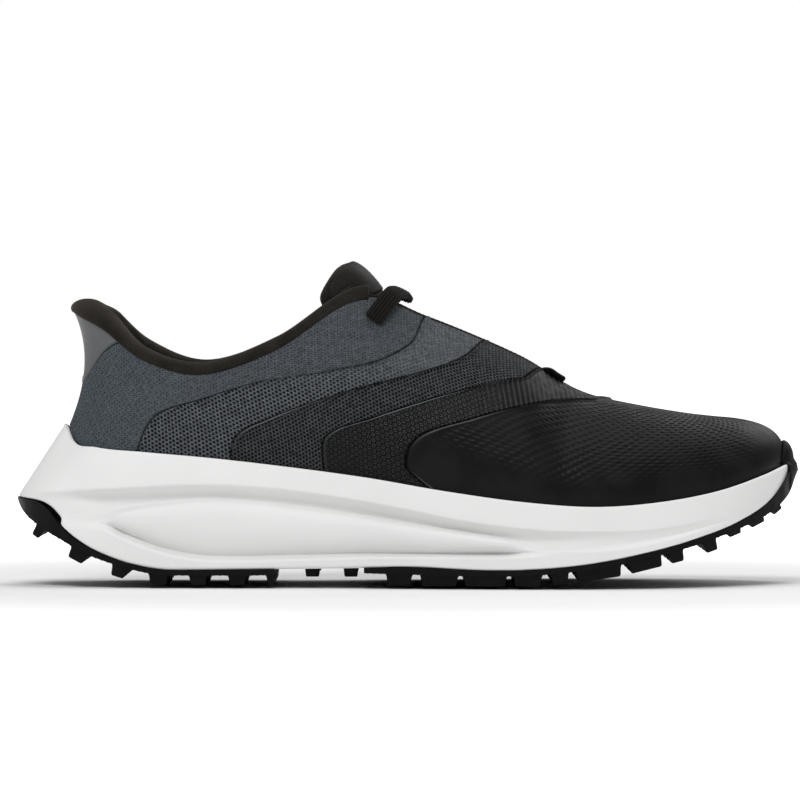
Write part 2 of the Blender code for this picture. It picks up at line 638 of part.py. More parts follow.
def add_stiffeners(board, textile):
    """Heel counter and toe puff inside the bootie, and the eyestay strips along the throat."""
    u = np.linspace(-3.6, 3.6, 19)[:, None]
    layer("heel_counter", board, u, np.linspace(-0.35, 0.58, 7)[None, :], STIFFENER)
    near = np.linspace(12.2, TOE, 7)
    u = np.concatenate([near, ROUND - near[-2::-1]])[:, None]
    layer("toe_puff", board, u, np.linspace(-0.2, 0.8, 8)[None, :], STIFFENER)
    for name, sign in (("eyestay_lateral", 1), ("eyestay_medial", -1)):
        u = np.linspace(6.5, 8.3, 8)[:, None] * sign
        layer(name, textile, u, np.linspace(0.79, 0.90, 3)[None, :], STIFFENER)


def add_vamp_lining(look):
    """Mesh lining of the forefoot, open round the throat."""
    near = np.concatenate([np.linspace(6.9, 9.5, 8), np.linspace(10, TOE, 11)])
    u = np.concatenate([near, ROUND - near[-2::-1]])[:, None]
    top = np.where(fold(u) < 9.4, 0.74, 1.0)
    v = -0.45 + (top + 0.45) * (1 - (1 - np.linspace(0, 1, 8)[None, :]) ** 1.3)
    layer("vamp_lining", look, u, v, LINING)


COLLAR_SPAN = 6.15
COLLAR_HEIGHTS = [-0.3, 0.2, 0.5, 0.68, 0.84, 1.0]


def padding(u, v):
    """Extra thickness of the collar's padding, thick round the heel and thin at the facing."""
    heel = np.clip(1 - fold(u) / COLLAR_SPAN, 0, 1)
    swell = np.sin(np.clip((v - 0.35) / 0.65, 0, 1) * math.pi * 0.62)
    return (1.4 + 7.3 * heel ** 0.8) * swell


def lining_depth(u):
    """Depth of the collar lining's foot: inside the counter at the heel, shallower at the facing."""
    return LINING[1] - 1.6 * np.clip((fold(u) - 3.7) / 0.8, 0, 1)


def collar_section(u, inset, v):
    """Inner face through the heights v, then over the rolled top edge to the outside."""
    v = np.array(v)
    depth = lining_depth(u) + padding(u, v) - inset
    inner = upper(np.full_like(v, u), v, depth)
    outer = wall(np.full_like(v, u), v)
    inner[:, 2] += (outer - inner)[:, 2] * np.clip((v - 0.6) / 0.4, 0, 1)
    side = outward(u)
    top = top_edge(u)
    reach = float(np.dot(top - inner[-1], side))
    outer_edge = -0.5 + inset
    centre = top - side * (reach + outer_edge) / 2
    radius = (reach - outer_edge) / 2
    turn = np.linspace(0, math.pi, 7)[1:]
    base = inner[-1][2] * (1 + np.cos(turn)) / 2 + (top[2] + 1.1) * (1 - np.cos(turn)) / 2
    crown = centre - side * radius * np.cos(turn)[:, None]
    crown[:, 2] = base + (3.4 - inset) * np.sin(turn)
    return np.concatenate([inner, crown])


def add_collar(textile, foam):
    """Padded collar: a lining rolled over a foam core, round the ankle from facing to facing."""
    stations = np.linspace(-COLLAR_SPAN, COLLAR_SPAN, 31)
    loops = []
    for u in stations:
        visible = collar_section(u, 0.0, COLLAR_HEIGHTS)
        hidden = collar_section(u, 0.9, COLLAR_HEIGHTS)
        loops.append(list(visible) + list(hidden[::-1]))
    swept("collar_lining", loops, textile)
    cores = []
    for u in stations:
        face = collar_section(u, 1.5, COLLAR_HEIGHTS[3:])
        back = upper(np.full(3, u), np.array([0.97, 0.84, 0.68]), 4.2)
        end = top_edge(u) + outward(u) * -3.2 + np.array([0, 0, 0.9])
        cores.append(list(face[:-2]) + [end] + list(back))
    swept("collar_foam", cores, foam)


# ---------------------------------------------------------------- tongue and laces

# Outer centre line of the tongue (x, z), radius across, half width along the arc.
TONGUE_BODY = [(64, 67.4, 30, 12), (54, 73.6, 30, 15), (42, 81.2, 29, 18), (28, 88.6, 28, 22),
               (14, 94.9, 25, 26), (2, 100.8, 22, 28), (-5.5, 107.2, 21, 29)]
TONGUE_TOP = [(-8.6, 113.0, 21, 31), (-11.6, 117.0, 21, 32), (-14.8, 120.8, 21, 32), (-18.2, 123.8, 21, 25),
              (-22.0, 125.6, 21, 17)]
TONGUE_LEAN = (0.88, 0.0, 0.47)
FOLD_X, FOLD_Z = -8.4, 112.4


def arched(line, outer, inner, columns=11, lean=None):
    """Arched strip along a centre line, between two depths; it bows along lean, or square to the line."""
    line = np.array(line, float)
    run = np.gradient(line[:, :2], axis=0)
    run /= np.linalg.norm(run, axis=1, keepdims=True)
    grids = []
    for depth in (outer, inner):
        rows = []
        for (x, z, radius, half), (rx, rz) in zip(line, run):
            up = np.array(lean or (rz, 0, -rx))
            turn = np.linspace(-1, 1, columns) * half / radius
            centre = np.array([x, 0, z]) - up * radius
            reach = (radius - depth)
            rows.append(centre + up * reach * np.cos(turn)[:, None]
                        + np.array([0, 1, 0]) * reach * np.sin(turn)[:, None])
        grids.append(np.array(rows))
    return grids


def add_tongue(mesh_look, padded_look, smooth_look):
    """Thin body under the laces, and the padded top with its smooth front patch, which folds."""
    body = Sheet()
    body.grid(*arched(TONGUE_BODY, 0.0, 3.0))
    body.solid("tongue_body", mesh_look)

    pivot = bpy.data.objects.new("tongue_pivot", None)
    pivot.location = (FOLD_X * MM, 0, FOLD_Z * MM)
    bpy.context.scene.collection.objects.link(pivot)
    pad = Sheet()
    pad.grid(*arched(TONGUE_TOP, 0.0, 6.0, lean=TONGUE_LEAN))
    patch = Sheet()
    front = [(x, z, radius, 13.0) for x, z, radius, half in TONGUE_TOP[1:]]
    front[0] = (-11.0, 116.2, 21, 13.0)
    front[-1] = (-20.6, 125.0, 21, 10.0)
    patch.grid(*arched(front, -1.2, -0.35, 7, TONGUE_LEAN))
    for thing in (pad.solid("tongue_top", padded_look), patch.solid("tongue_patch", smooth_look)):
        thing.parent = pivot
        thing.matrix_parent_inverse.identity()
        thing.data.transform(pivot_shift())


def pivot_shift():
    return Matrix.Translation((-FOLD_X * MM, 0, -FOLD_Z * MM))


def ribbon(name, path, width, thickness, look):
    """Flat lace along a smooth path; its width lies along the shoe and across the path."""
    path = np.array(path, float)
    run = np.concatenate([[0], np.cumsum(np.linalg.norm(np.diff(path, axis=0), axis=1))])
    where = np.linspace(0, run[-1], 24)
    line = np.stack([smooth(np.stack([run, path[:, k]], axis=1), where) for k in range(3)], axis=1)
    ahead = np.gradient(line, axis=0)
    ahead /= np.linalg.norm(ahead, axis=1, keepdims=True)
    loops = []
    for point, run_dir in zip(line, ahead):
        up = np.array([0.45, 0.013 * point[1], 1.0])
        across = np.cross(up, run_dir)
        across /= np.linalg.norm(across)
        up = np.cross(run_dir, across)
        half, thick = width / 2, thickness / 2
        loops.append([point + across * a * half + up * b * thick
                      for a, b in ((-1, -0.4), (-1, 0.4), (-0.7, 1), (0.7, 1), (1, 0.4), (1, -0.4),
                                   (0.7, -1), (-0.7, -1))])
    return swept(name, loops, look)


# The top lace runs from eyelet to eyelet: its lateral half, then mirrored (x, y, z).
EYELET = [(-11.3, 102.8), (-10.6, 107.2)]
TOP_LACE = [(-5.6, -25.0, 112.2), (-2.6, -13.5, 113.2), (-1.2, 0.0, 111.6)]
# The throat lace winds from loop to loop between the facings down to the keeper (x, y, z).
THROAT_LACE = [(3.0, -16.5, 96.2), (10.0, -6.0, 97.9), (18.0, 8.5, 95.5),
               (28.0, 1.0, 90.4), (38.0, -5.5, 86.1), (50.0, -1.0, 78.2)]
LACE_WIDTH, LACE_THICKNESS = 7.4, 2.1


def add_laces(look):
    eyelet = []
    for (x, z), lift in zip(EYELET, (1.7, 2.0)):
        u, v = locate(x, z)
        eyelet.append((u, v, lift))
    near = [upper(u, v, -lift) for u, v, lift in eyelet] + TOP_LACE
    far = [(x, -y, z) for x, y, z in TOP_LACE[-2::-1]]
    far += [upper(ROUND - u, v, -lift) for u, v, lift in eyelet[::-1]]
    ribbon("lace_top", near + far, LACE_WIDTH, LACE_THICKNESS, look)
    ribbon("lace_throat", THROAT_LACE, LACE_WIDTH, LACE_THICKNESS, look)


def add_lace_loops(look):
    """Webbing loops that reach in from the facing edges and hold the throat laces where they turn."""
    room, gap, web, fall, lean = 7.2, 2.0, 0.9, -0.5, 0.13
    for name, (x, y, z), edge in (("medial", THROAT_LACE[2], 16.2), ("lateral", THROAT_LACE[4], 12.4)):
        side, middle = np.sign(y), abs(y)
        near = middle - room
        outline = [(edge, gap + web), (near - web, gap + web), (near - web, -gap - web), (edge, -gap - web),
                   (edge, -gap), (near, -gap), (near, gap), (edge, gap)]
        loops = [[(x + dx, side * a, z + b + fall * dx - lean * (a - middle)) for a, b in outline]
                 for dx in (-1.1, 1.1)]
        swept("lace_loop_" + name, loops, look)


def add_keeper(look):
    """Bar stitched over the lower end of the throat."""
    loops = []
    for x, low, high, half in ((54.5, 83.1, 84.8, 5.5), (57.5, 81.4, 83.4, 6.5), (61.5, 79.2, 80.8, 5.5)):
        loops.append([(x, 1 - half, low), (x, 1 + half, low), (x, half, high), (x, 2 - half, high)])
    swept("throat_keeper", loops, look)


# ---------------------------------------------------------------- assembly


def build():
    for thing in list(bpy.data.objects):
        bpy.data.objects.remove(thing, do_unlink=True)
    white_foam = material("white_foam", (0.83, 0.84, 0.86), 0.6)
    rubber = material("black_rubber", (0.015, 0.015, 0.016), 0.55)
    board = material("stiffener_board", (0.55, 0.52, 0.47), 0.7)
    sock = material("sockliner_fabric", (0.03, 0.03, 0.033), 0.9)
    grey_knit = material("grey_knit", (0.09, 0.105, 0.12), 0.85)
    grey_band = material("grey_band", (0.07, 0.08, 0.09), 0.8)
    dark_band = material("dark_band", (0.03, 0.034, 0.038), 0.7)
    black_band = material("black_band", (0.014, 0.014, 0.015), 0.6)
    black_leather = material("black_leather", (0.011, 0.011, 0.012), 0.45)
    heel_grey = material("heel_grey", (0.11, 0.12, 0.13), 0.5)
    textile = material("black_textile", (0.012, 0.011, 0.011), 0.95)
    lace_weave = material("lace_weave", (0.012, 0.012, 0.013), 0.8)
    foam = material("collar_foam", (0.75, 0.72, 0.6), 0.9)

    add_midsole(white_foam)
    add_heel_outsole(rubber)
    add_forefoot_outsole(rubber)
    add_studs(rubber)
    plate("strobel_board", board, 5.6, 0.5, 1.7)
    plate("sockliner", sock, 8.2, 2.3, 6.8)

    rear, middle, front, toe = (seam(name) for name in SEAMS)
    add_base(textile)
    for side, word in ((-1, "lateral"), (1, "medial")):
        add_quarter("quarter_" + word, grey_knit, side, rear)
        for name, look, start, stop in (("rear_band_", grey_band, rear, middle),
                                        ("middle_band_", dark_band, middle, front)):
            u, v = between(inset_seam(start, 1), inset_seam(stop, -1), 5, side)
            layer(name + word, look, u, v, SKIN)
    add_front_band(black_band, front, toe)
    add_toe_panel(black_leather, toe)
    add_heel_panel(heel_grey)
    add_stiffeners(board, textile)
    add_vamp_lining(textile)
    add_collar(textile, foam)
    add_tongue(textile, textile, black_leather)
    add_laces(lace_weave)
    add_lace_loops(lace_weave)
    add_keeper(lace_weave)


build()
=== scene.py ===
"""Looks of a running-style golf shoe, right foot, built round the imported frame.

Row frame: +X toe, +Y medial side, +Z up. Helper functions work in millimetres, and meshes are
scaled to metres when they are made.
"""
import math

import bmesh
import bpy
import numpy as np
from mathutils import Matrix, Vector


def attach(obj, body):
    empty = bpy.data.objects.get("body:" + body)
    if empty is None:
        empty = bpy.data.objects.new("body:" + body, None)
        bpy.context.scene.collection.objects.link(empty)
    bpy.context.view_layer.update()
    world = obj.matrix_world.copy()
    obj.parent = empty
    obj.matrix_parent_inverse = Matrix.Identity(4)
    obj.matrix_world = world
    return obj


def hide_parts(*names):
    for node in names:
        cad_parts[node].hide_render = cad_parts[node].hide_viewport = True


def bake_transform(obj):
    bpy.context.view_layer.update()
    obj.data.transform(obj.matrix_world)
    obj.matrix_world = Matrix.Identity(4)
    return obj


MM = 0.001
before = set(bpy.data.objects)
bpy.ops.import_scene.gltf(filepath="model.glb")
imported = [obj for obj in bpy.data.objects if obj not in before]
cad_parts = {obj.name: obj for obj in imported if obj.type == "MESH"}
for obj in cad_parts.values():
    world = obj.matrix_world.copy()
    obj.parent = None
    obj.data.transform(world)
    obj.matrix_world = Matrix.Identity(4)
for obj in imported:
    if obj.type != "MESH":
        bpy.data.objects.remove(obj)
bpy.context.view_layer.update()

# ---------------------------------------------------------------- driving outlines, millimetres
# Stations go from the heel centre to the toe tip: feather line (x, y), upper's top edge (x, y, z),
# lower edge of the foam (x, y). From station RIDGE on, the top edge is the crest of the vamp.
LATERAL = [
    ((-131.5, 0.0), (-130.3, 0.0, 107.0), (-151.7, 0.0)),
    ((-128.5, -13.0), (-126.8, -11.5, 105.0), (-146.5, -18.0)),
    ((-119.0, -25.0), (-117.0, -20.5, 99.7), (-131.0, -32.0)),
    ((-100.0, -33.0), (-101.0, -27.5, 87.6), (-104.0, -40.0)),
    ((-75.0, -36.0), (-78.0, -32.0, 82.4), (-75.0, -42.5)),
    ((-45.0, -38.0), (-50.0, -32.5, 92.4), (-45.0, -43.0)),
    ((-15.0, -42.0), (-19.0, -27.5, 111.6), (-15.0, -46.0)),
    ((15.0, -46.5), (8.0, -20.0, 103.6), (15.0, -50.8)),
    ((45.0, -49.5), (42.0, -13.0, 89.4), (45.0, -54.0)),
    ((60.0, -49.6), (59.0, 1.0, 79.6), (60.0, -54.4)),
    ((74.0, -48.3), (72.0, 2.2, 73.6), (74.0, -53.6)),
    ((98.0, -42.5), (92.0, 4.2, 69.2), (99.0, -47.5)),
    ((120.0, -31.5), (107.0, 5.8, 66.8), (122.0, -35.0)),
    ((136.0, -18.0), (116.0, 6.8, 65.6), (138.0, -20.0)),
    ((145.5, -3.5), (120.5, 7.3, 65.1), (147.5, -4.5)),
    ((148.0, 8.0), (121.5, 7.5, 65.0), (149.6, 8.0)),
]
MEDIAL = [
    ((-128.5, 13.0), (-126.8, 11.5, 105.6), (-146.5, 18.0)),
    ((-119.0, 25.0), (-117.0, 20.5, 101.5), (-131.0, 32.0)),
    ((-100.0, 32.5), (-101.0, 27.5, 90.4), (-104.0, 39.5)),
    ((-75.0, 34.0), (-78.0, 31.0, 83.2), (-75.0, 40.5)),
    ((-45.0, 34.0), (-50.0, 31.5, 92.8), (-45.0, 39.0)),
    ((-15.0, 36.5), (-19.0, 27.0, 111.6), (-15.0, 41.0)),
    ((15.0, 41.0), (8.0, 20.0, 103.6), (15.0, 46.0)),
    ((45.0, 46.5), (42.0, 14.5, 89.4), (45.0, 51.8)),
    ((60.0, 49.0), (59.0, 1.0, 79.6), (60.0, 54.2)),
    ((74.0, 49.8), (72.0, 2.2, 73.6), (74.0, 54.8)),
    ((98.0, 47.5), (92.0, 4.2, 69.2), (99.0, 52.0)),
    ((120.0, 40.0), (107.0, 5.8, 66.8), (122.0, 43.5)),
    ((136.0, 30.0), (116.0, 6.8, 65.6), (138.0, 32.8)),
    ((145.0, 19.5), (120.5, 7.3, 65.1), (147.0, 20.5)),
]
TOE = len(LATERAL) - 1
ROUND = 2 * TOE
RIDGE = 9
FACING = 6.2

# Bulge of the upper's side: how far the two middle control points stand out, and how high.
BULGE = [
    (-6.5, 0.35, -7.3, 0.33), (-4.0, 0.33, -6.0, 0.33), (-1.0, 0.33, -3.0, 0.33), (2.0, 0.33, 1.0, 0.33),
    (3.0, 0.35, 4.0, 0.35), (4.0, 0.35, 6.0, 0.35), (4.0, 0.40, 10.0, 0.30), (4.0, 0.42, 16.0, 0.18),
    (3.5, 0.45, 18.0, 0.11), (3.0, 0.47, 21.0, 0.03), (3.0, 0.50, 24.0, 0.0), (2.5, 0.55, 22.0, 0.0),
    (2.0, 0.55, 20.0, 0.0), (1.5, 0.55, 19.0, 0.0), (1.0, 0.55, 20.0, 0.0), (0.5, 0.60, 21.5, 0.0),
]

FEATHER_HEIGHT = [(-131.5, 62.0), (-128.5, 56.0), (-119, 53.2), (-100, 51.4), (-75, 49.2), (-45, 45.8),
                  (-15, 41.8), (15, 36.7), (45, 32.6), (72, 30.8), (98, 32.7), (120, 36.8), (136, 42.0),
                  (148, 46.8)]
RIDGE_HEIGHT = [(59, 79.6), (65, 76.4), (72, 73.6), (87, 70.2), (110, 66.3), (121.5, 65.0)]
BED_HEIGHT = [(-131, 41.0), (-100, 37.5), (-75, 35.5), (-45, 32.5), (-15, 28.5), (15, 25.0), (45, 22.6),
              (72, 21.6), (98, 23.8), (120, 28.2), (136, 33.5), (148, 39.0)]
FOAM_BOTTOM = [(-151.7, 34.0), (-140, 30.9), (-132.5, 22.4), (-124, 16.0), (-113.5, 11.2), (-104, 8.4),
               (-90, 6.6), (-60, 6.9), (-20, 7.5), (0, 8.0), (32, 6.8), (45, 7.0), (68, 9.0), (91, 13.3),
               (110, 18.3), (129, 25.4), (141, 33.0), (147, 40.3), (149.6, 45.0)]
HEEL_TREAD = [(-151.7, 33.2), (-149, 28.9), (-142.5, 23.4), (-132, 17.3), (-124, 12.9), (-113, 8.9),
              (-104, 6.4), (-92, 4.6), (-60, 4.6), (-50, 5.0)]
FORE_TREAD = [(-17, 5.6), (0, 5.2), (32, 4.6), (48, 5.0), (62, 6.3), (78, 8.3), (91, 11.3), (110, 16.0),
              (129, 22.6), (138, 26.5), (146, 32.0), (149.6, 36.5), (152, 42.0)]
RECESS_TOP = [(-129, 36.0), (-109, 37.5), (-79, 39.0), (-55, 38.0), (-29, 35.0), (0, 30.0), (20, 26.0),
              (40, 23.2), (60, 21.8), (80, 21.8), (100, 23.4), (126, 28.6)]
POD_TOP = [(-129, 26.5), (-112, 27.5), (-105, 30.0), (-89, 33.0), (-75, 34.0), (-59, 33.0), (-20, 28.0),
           (10, 23.2), (40, 18.6), (56, 16.0), (80, 16.8), (100, 20.0), (126, 27.0)]
POD_BOTTOM = [(-129, 22.5), (-112, 24.0), (-105, 20.5), (-93, 15.2), (-79, 12.2), (-69, 11.8), (-39, 12.6),
              (-10, 13.3), (20, 13.3), (40, 13.6), (56, 14.0), (80, 14.4), (100, 18.4), (126, 26.0)]

# Panel edges seen from the side, from the feather line to the top edge (x, z).
SEAMS = {
    "rear_band": [(-104, 52), (-98, 64.7), (-78, 72.3), (-55.7, 79), (-29, 83), (-8, 88), (3.4, 95.7),
                  (7, 102.3)],
    "middle_band": [(-68, 49), (-66, 57.5), (-52.7, 64.7), (-22.9, 75), (4.4, 82.3), (19, 87.2), (30, 94)],
    "front_band": [(-32, 44.5), (-31.8, 57), (-13.9, 64.7), (19, 75), (41, 79.9), (52, 82.3)],
    "toe_panel": [(9, 38), (-0.7, 47.3), (1.4, 55.3), (25.3, 64.9), (52.1, 71.1), (64, 72.2), (78, 71.8)],
}
HEEL_PANEL_LOW = 0.34
HEEL_PANEL_REACH = 2.45

# Depth of the lining's outer face under the upper's outer face.
LINING_DEPTH = 5.2
LINING_THICKNESS = 0.9
SEAM_ROWS = 17

# ---------------------------------------------------------------- curves


def smooth(points, x):
    """Height read from a smooth curve through (x, z) points, without overshoot."""
    px, pz = np.array(points, float).T
    step = np.diff(px)
    slope = np.diff(pz) / step
    tangent = np.concatenate([slope[:1], (slope[1:] + slope[:-1]) / 2, slope[-1:]])
    tangent[1:-1][slope[1:] * slope[:-1] <= 0] = 0
    x = np.clip(np.asarray(x, float), px[0], px[-1])
    i = np.clip(np.searchsorted(px, x) - 1, 0, len(px) - 2)
    f = (x - px[i]) / step[i]
    rise = (pz[i] * (1 + 2 * f) + tangent[i] * step[i] * f) * (1 - f) ** 2
    return rise + (pz[i + 1] * (3 - 2 * f) - tangent[i + 1] * step[i] * (1 - f)) * f ** 2


def closed_spline(rows, u):
    """Smooth closed curve through the rows, one row for each whole number of u."""
    rows = np.asarray(rows, float)
    u = np.asarray(u, float) % len(rows)
    i = np.floor(u).astype(int)
    f = (u - i)[..., None]
    a, b, c, d = (rows[(i + k) % len(rows)] for k in (-1, 0, 1, 2))
    square = 2 * a - 5 * b + 4 * c - d
    cube = 3 * b - a - 3 * c + d
    return 0.5 * (2 * b + (c - a) * f + square * f ** 2 + cube * f ** 3)


STATIONS = LATERAL + MEDIAL[::-1]
FEATHER_ROWS = [row[0] for row in STATIONS]
TOP_ROWS = [row[1] for row in STATIONS]
SOLE_ROWS = [row[2] for row in STATIONS]
BULGE_ROWS = BULGE + BULGE[-2:0:-1]


def fold(u):
    """Station number on either side: 0 at the heel centre, TOE at the toe tip."""
    u = np.asarray(u, float) % ROUND
    return np.minimum(u, ROUND - u)


def feather(u):
    """Line where the upper meets the foam."""
    plan = closed_spline(FEATHER_ROWS, u)
    return np.concatenate([plan, smooth(FEATHER_HEIGHT, plan[..., 0])[..., None]], axis=-1)


def outward(u, rows=FEATHER_ROWS):
    """Horizontal unit vector that points out of the shoe, square to its outline."""
    run = closed_spline(rows, np.asarray(u) + 0.05) - closed_spline(rows, np.asarray(u) - 0.05)
    side = np.stack([run[..., 1], -run[..., 0], np.zeros(run.shape[:-1])], axis=-1)
    return side / np.linalg.norm(side, axis=-1, keepdims=True)


def ridge_slope(x):
    """Slope of the vamp's crest."""
    return smooth(RIDGE_HEIGHT, np.asarray(x) + 0.5) - smooth(RIDGE_HEIGHT, np.asarray(x) - 0.5)


def top_edge(u):
    """Top edge of the upper; both sides share the crest from station RIDGE on."""
    u = np.asarray(u, float)
    edge = closed_spline(TOP_ROWS, u)
    crest = (edge + closed_spline(TOP_ROWS, ROUND - u)) / 2
    crest[..., 2] = smooth(RIDGE_HEIGHT, crest[..., 0])
    closing = np.clip(fold(u) - (RIDGE - 1), 0, 1)
    edge[..., 1] = crest[..., 1] + (edge[..., 1] - crest[..., 1]) * (1 - closing ** 2) ** 0.6
    return np.where((fold(u) >= RIDGE)[..., None], crest, edge)


def wall(u, v):
    """Outer face of the upper: v = 0 on the feather line, 1 on the top edge, below 0 inside the cup."""
    u, v = np.broadcast_arrays(np.asarray(u, float), np.asarray(v, float))
    foot = feather(u)
    head = top_edge(u)
    side = outward(u)
    out_low, up_low, out_high, down_high = np.moveaxis(closed_spline(BULGE_ROWS, u), -1, 0)
    height = (head - foot)[..., 2]
    low = foot + side * out_low[..., None]
    low[..., 2] += up_low * height
    high = head + side * out_high[..., None]
    high[..., 2] -= np.maximum(down_high, 0) * height
    crest = fold(u) >= RIDGE
    high[..., 2] += np.where(crest, ridge_slope(head[..., 0]) * side[..., 0] * out_high, 0)
    t = np.clip(v, 0, 1)[..., None]
    point = foot * (1 - t) ** 3 + 3 * low * t * (1 - t) ** 2 + 3 * high * t ** 2 * (1 - t) + head * t ** 3
    drop = np.minimum(v, 0)[..., None] * (foot[..., 2] - smooth(BED_HEIGHT, foot[..., 0]) - 0.6)[..., None]
    return point + side * drop * 0.12 + np.array([0, 0, 1.0]) * drop


def upper(u, v, inset):
    """Point on the upper's wall moved inwards by inset."""
    u, v = np.broadcast_arrays(np.asarray(u, float), np.asarray(v, float))
    h = 0.01
    along = wall(u + h, np.clip(v, 0, 1)) - wall(u - h, np.clip(v, 0, 1))
    across = wall(u, np.clip(v + h, h, 1)) - wall(u, np.clip(v - h, 0, 1 - h))
    normal = np.cross(along, across)
    normal /= np.maximum(np.linalg.norm(normal, axis=-1, keepdims=True), 1e-9)
    normal = np.where((v < 0)[..., None], outward(u), normal)
    slope = ridge_slope(top_edge(u)[..., 0])
    level = np.stack([-slope, np.zeros_like(slope), np.ones_like(slope)], axis=-1)
    level /= np.linalg.norm(level, axis=-1, keepdims=True)
    on_crest = (fold(u) >= RIDGE) & (v > 0.999)
    normal = np.where(on_crest[..., None], level, normal)
    return wall(u, v) - normal * np.asarray(inset, float)[..., None]


def station_at(x, edge=feather, low=0.0, high=TOE):
    """Station where the given edge passes x."""
    u = np.linspace(low, high, 1501)
    return float(np.interp(x, edge(u)[..., 0], u))


def locate(x, z):
    """Station and v of the lateral wall's point that is seen at (x, z) from the side."""
    u_mid, v_mid, u_half, v_half = TOE / 2, 0.5, TOE / 2, 0.5
    for _ in range(7):
        u = np.linspace(max(0, u_mid - u_half), min(TOE, u_mid + u_half), 41)
        v = np.linspace(max(0, v_mid - v_half), min(1, v_mid + v_half), 41)
        point = wall(u[:, None], v[None, :])
        miss = (point[..., 0] - x) ** 2 + (point[..., 2] - z) ** 2
        i, j = np.unravel_index(np.argmin(miss), miss.shape)
        u_mid, v_mid = u[i], v[j]
        u_half, v_half = u_half / 5, v_half / 5
    return u_mid, v_mid


def seam(name):
    """Panel edge from the feather line to the top edge, as points (station, v) evenly spaced along it."""
    points = evenly(SEAMS[name], SEAM_ROWS)
    spots = [(station_at(points[0][0]), 0.0)]
    spots += [locate(x, z) for x, z in points[1:-1]]
    spots.append((station_at(points[-1][0], top_edge, FACING, TOE), 1.0))
    return np.array(spots)


def evenly(points, count):
    """Smooth curve through points, read at evenly spaced places along it."""
    return path_and_run(points, count)[0]


def path_and_run(points, count, measured=3):
    """Smooth curve at evenly spaced places, and their distances, measured on its first columns."""
    points = np.array(points, float)
    steps = np.linalg.norm(np.diff(points[:, :measured], axis=0), axis=1)
    run = np.concatenate([[0], np.cumsum(steps)])
    where = np.linspace(0, run[-1], count)
    columns = [smooth(np.stack([run, column], axis=1), where) for column in points.T]
    return np.stack(columns, axis=1), where



# ---------------------------------------------------------------- meshes


def quads_of(ids):
    """Quads over a grid of vertex numbers."""
    return np.stack([ids[:-1, :-1], ids[1:, :-1], ids[1:, 1:], ids[:-1, 1:]], axis=-1).reshape(-1, 4)


class Shell:
    """Collects grids and loops of points, welds them where they meet, and makes one piece of them."""

    def __init__(self):
        self.points = []
        self.notes = []
        self.count = 0
        self.quads = []
        self.loops = []

    def add(self, points, note=None):
        """Adds points without faces and returns their numbers; note is (along, across, painted highlight
        share) for each.
        """
        points = np.asarray(points, float)
        shape = points.shape[:-1]
        ids = np.arange(self.count, self.count + points.size // 3).reshape(shape)
        self.count += ids.size
        self.points.append(points.reshape(-1, 3))
        note = np.zeros(shape + (3,)) if note is None else np.broadcast_to(note, shape + (3,))
        self.notes.append(note.reshape(-1, 3))
        return ids

    def grid(self, points, note=None, closed=False):
        """Adds a grid of points with quads over it; closed joins its last row to its first."""
        ids = self.add(points, note)
        if closed:
            ids = np.concatenate([ids, ids[:1]])
        self.quads.append(quads_of(ids))
        return ids

    def cap(self, ids):
        """Closes both ends of a tube whose rings are the columns of ids."""
        self.loops += [[int(k) for k in ids[:-1, 0]], [int(k) for k in ids[:-1, -1][::-1]]]

    def rim(self, outer, inner, ends=True):
        """Joins the long edges of two grids and, with ends, their short edges too."""
        pairs = [(outer[:, 0], inner[:, 0]), (outer[:, -1], inner[:, -1])]
        if ends:
            pairs += [(outer[0], inner[0]), (outer[-1], inner[-1])]
        for pair in pairs:
            self.grid(np.stack(pair, axis=1))

    def build(self, name, look, slot, replaces=(), body="shoe", sharp=50):
        """Welds the points and makes one piece of all the faces."""
        points = np.concatenate(self.points)
        notes = np.concatenate(self.notes)
        _, first, welded = np.unique(np.round(points * 500).astype(np.int64), axis=0, return_index=True,
                                     return_inverse=True)
        welded = welded.ravel()
        faces = welded[np.concatenate(self.quads)] if self.quads else np.zeros((0, 4), int)
        flat = (faces == np.roll(faces, 1, axis=1)).any(axis=1) | (faces[:, 0] == faces[:, 2])
        every = faces[~flat].tolist()
        loose = faces[flat].tolist() + [[int(welded[k]) for k in loop] for loop in self.loops]
        for loop in loose:
            loop = [k for i, k in enumerate(loop) if k != loop[i - 1]]
            if len(set(loop)) > 2:
                every.append(loop)
        mesh = bpy.data.meshes.new(name)
        mesh.from_pydata((points[first] * MM).tolist(), [], every)
        note = mesh.attributes.new("sheet", "FLOAT_VECTOR", "POINT")
        note.data.foreach_set("vector", notes[first].astype(np.float32).ravel())
        return finished(name, mesh, look, slot, replaces, body, sharp)


def finished(name, mesh, look, slot, replaces=(), body="shoe", sharp=50):
    """Turns a mesh into a smooth shaded piece that rides on a body."""
    work = bmesh.new()
    work.from_mesh(mesh)
    loose = [vert for vert in work.verts if not vert.link_faces]
    bmesh.ops.delete(work, geom=loose, context="VERTS")
    bmesh.ops.recalc_face_normals(work, faces=work.faces)
    for face in work.faces:
        face.smooth = True
    work.to_mesh(mesh)
    work.free()
    mesh.set_sharp_from_angle(angle=math.radians(sharp))
    mesh.materials.clear()
    mesh.materials.append(look)
    thing = bpy.data.objects.new(name, mesh)
    bpy.context.scene.collection.objects.link(thing)
    if body:
        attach(thing, body)
    if replaces:
        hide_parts(*replaces)
    return thing


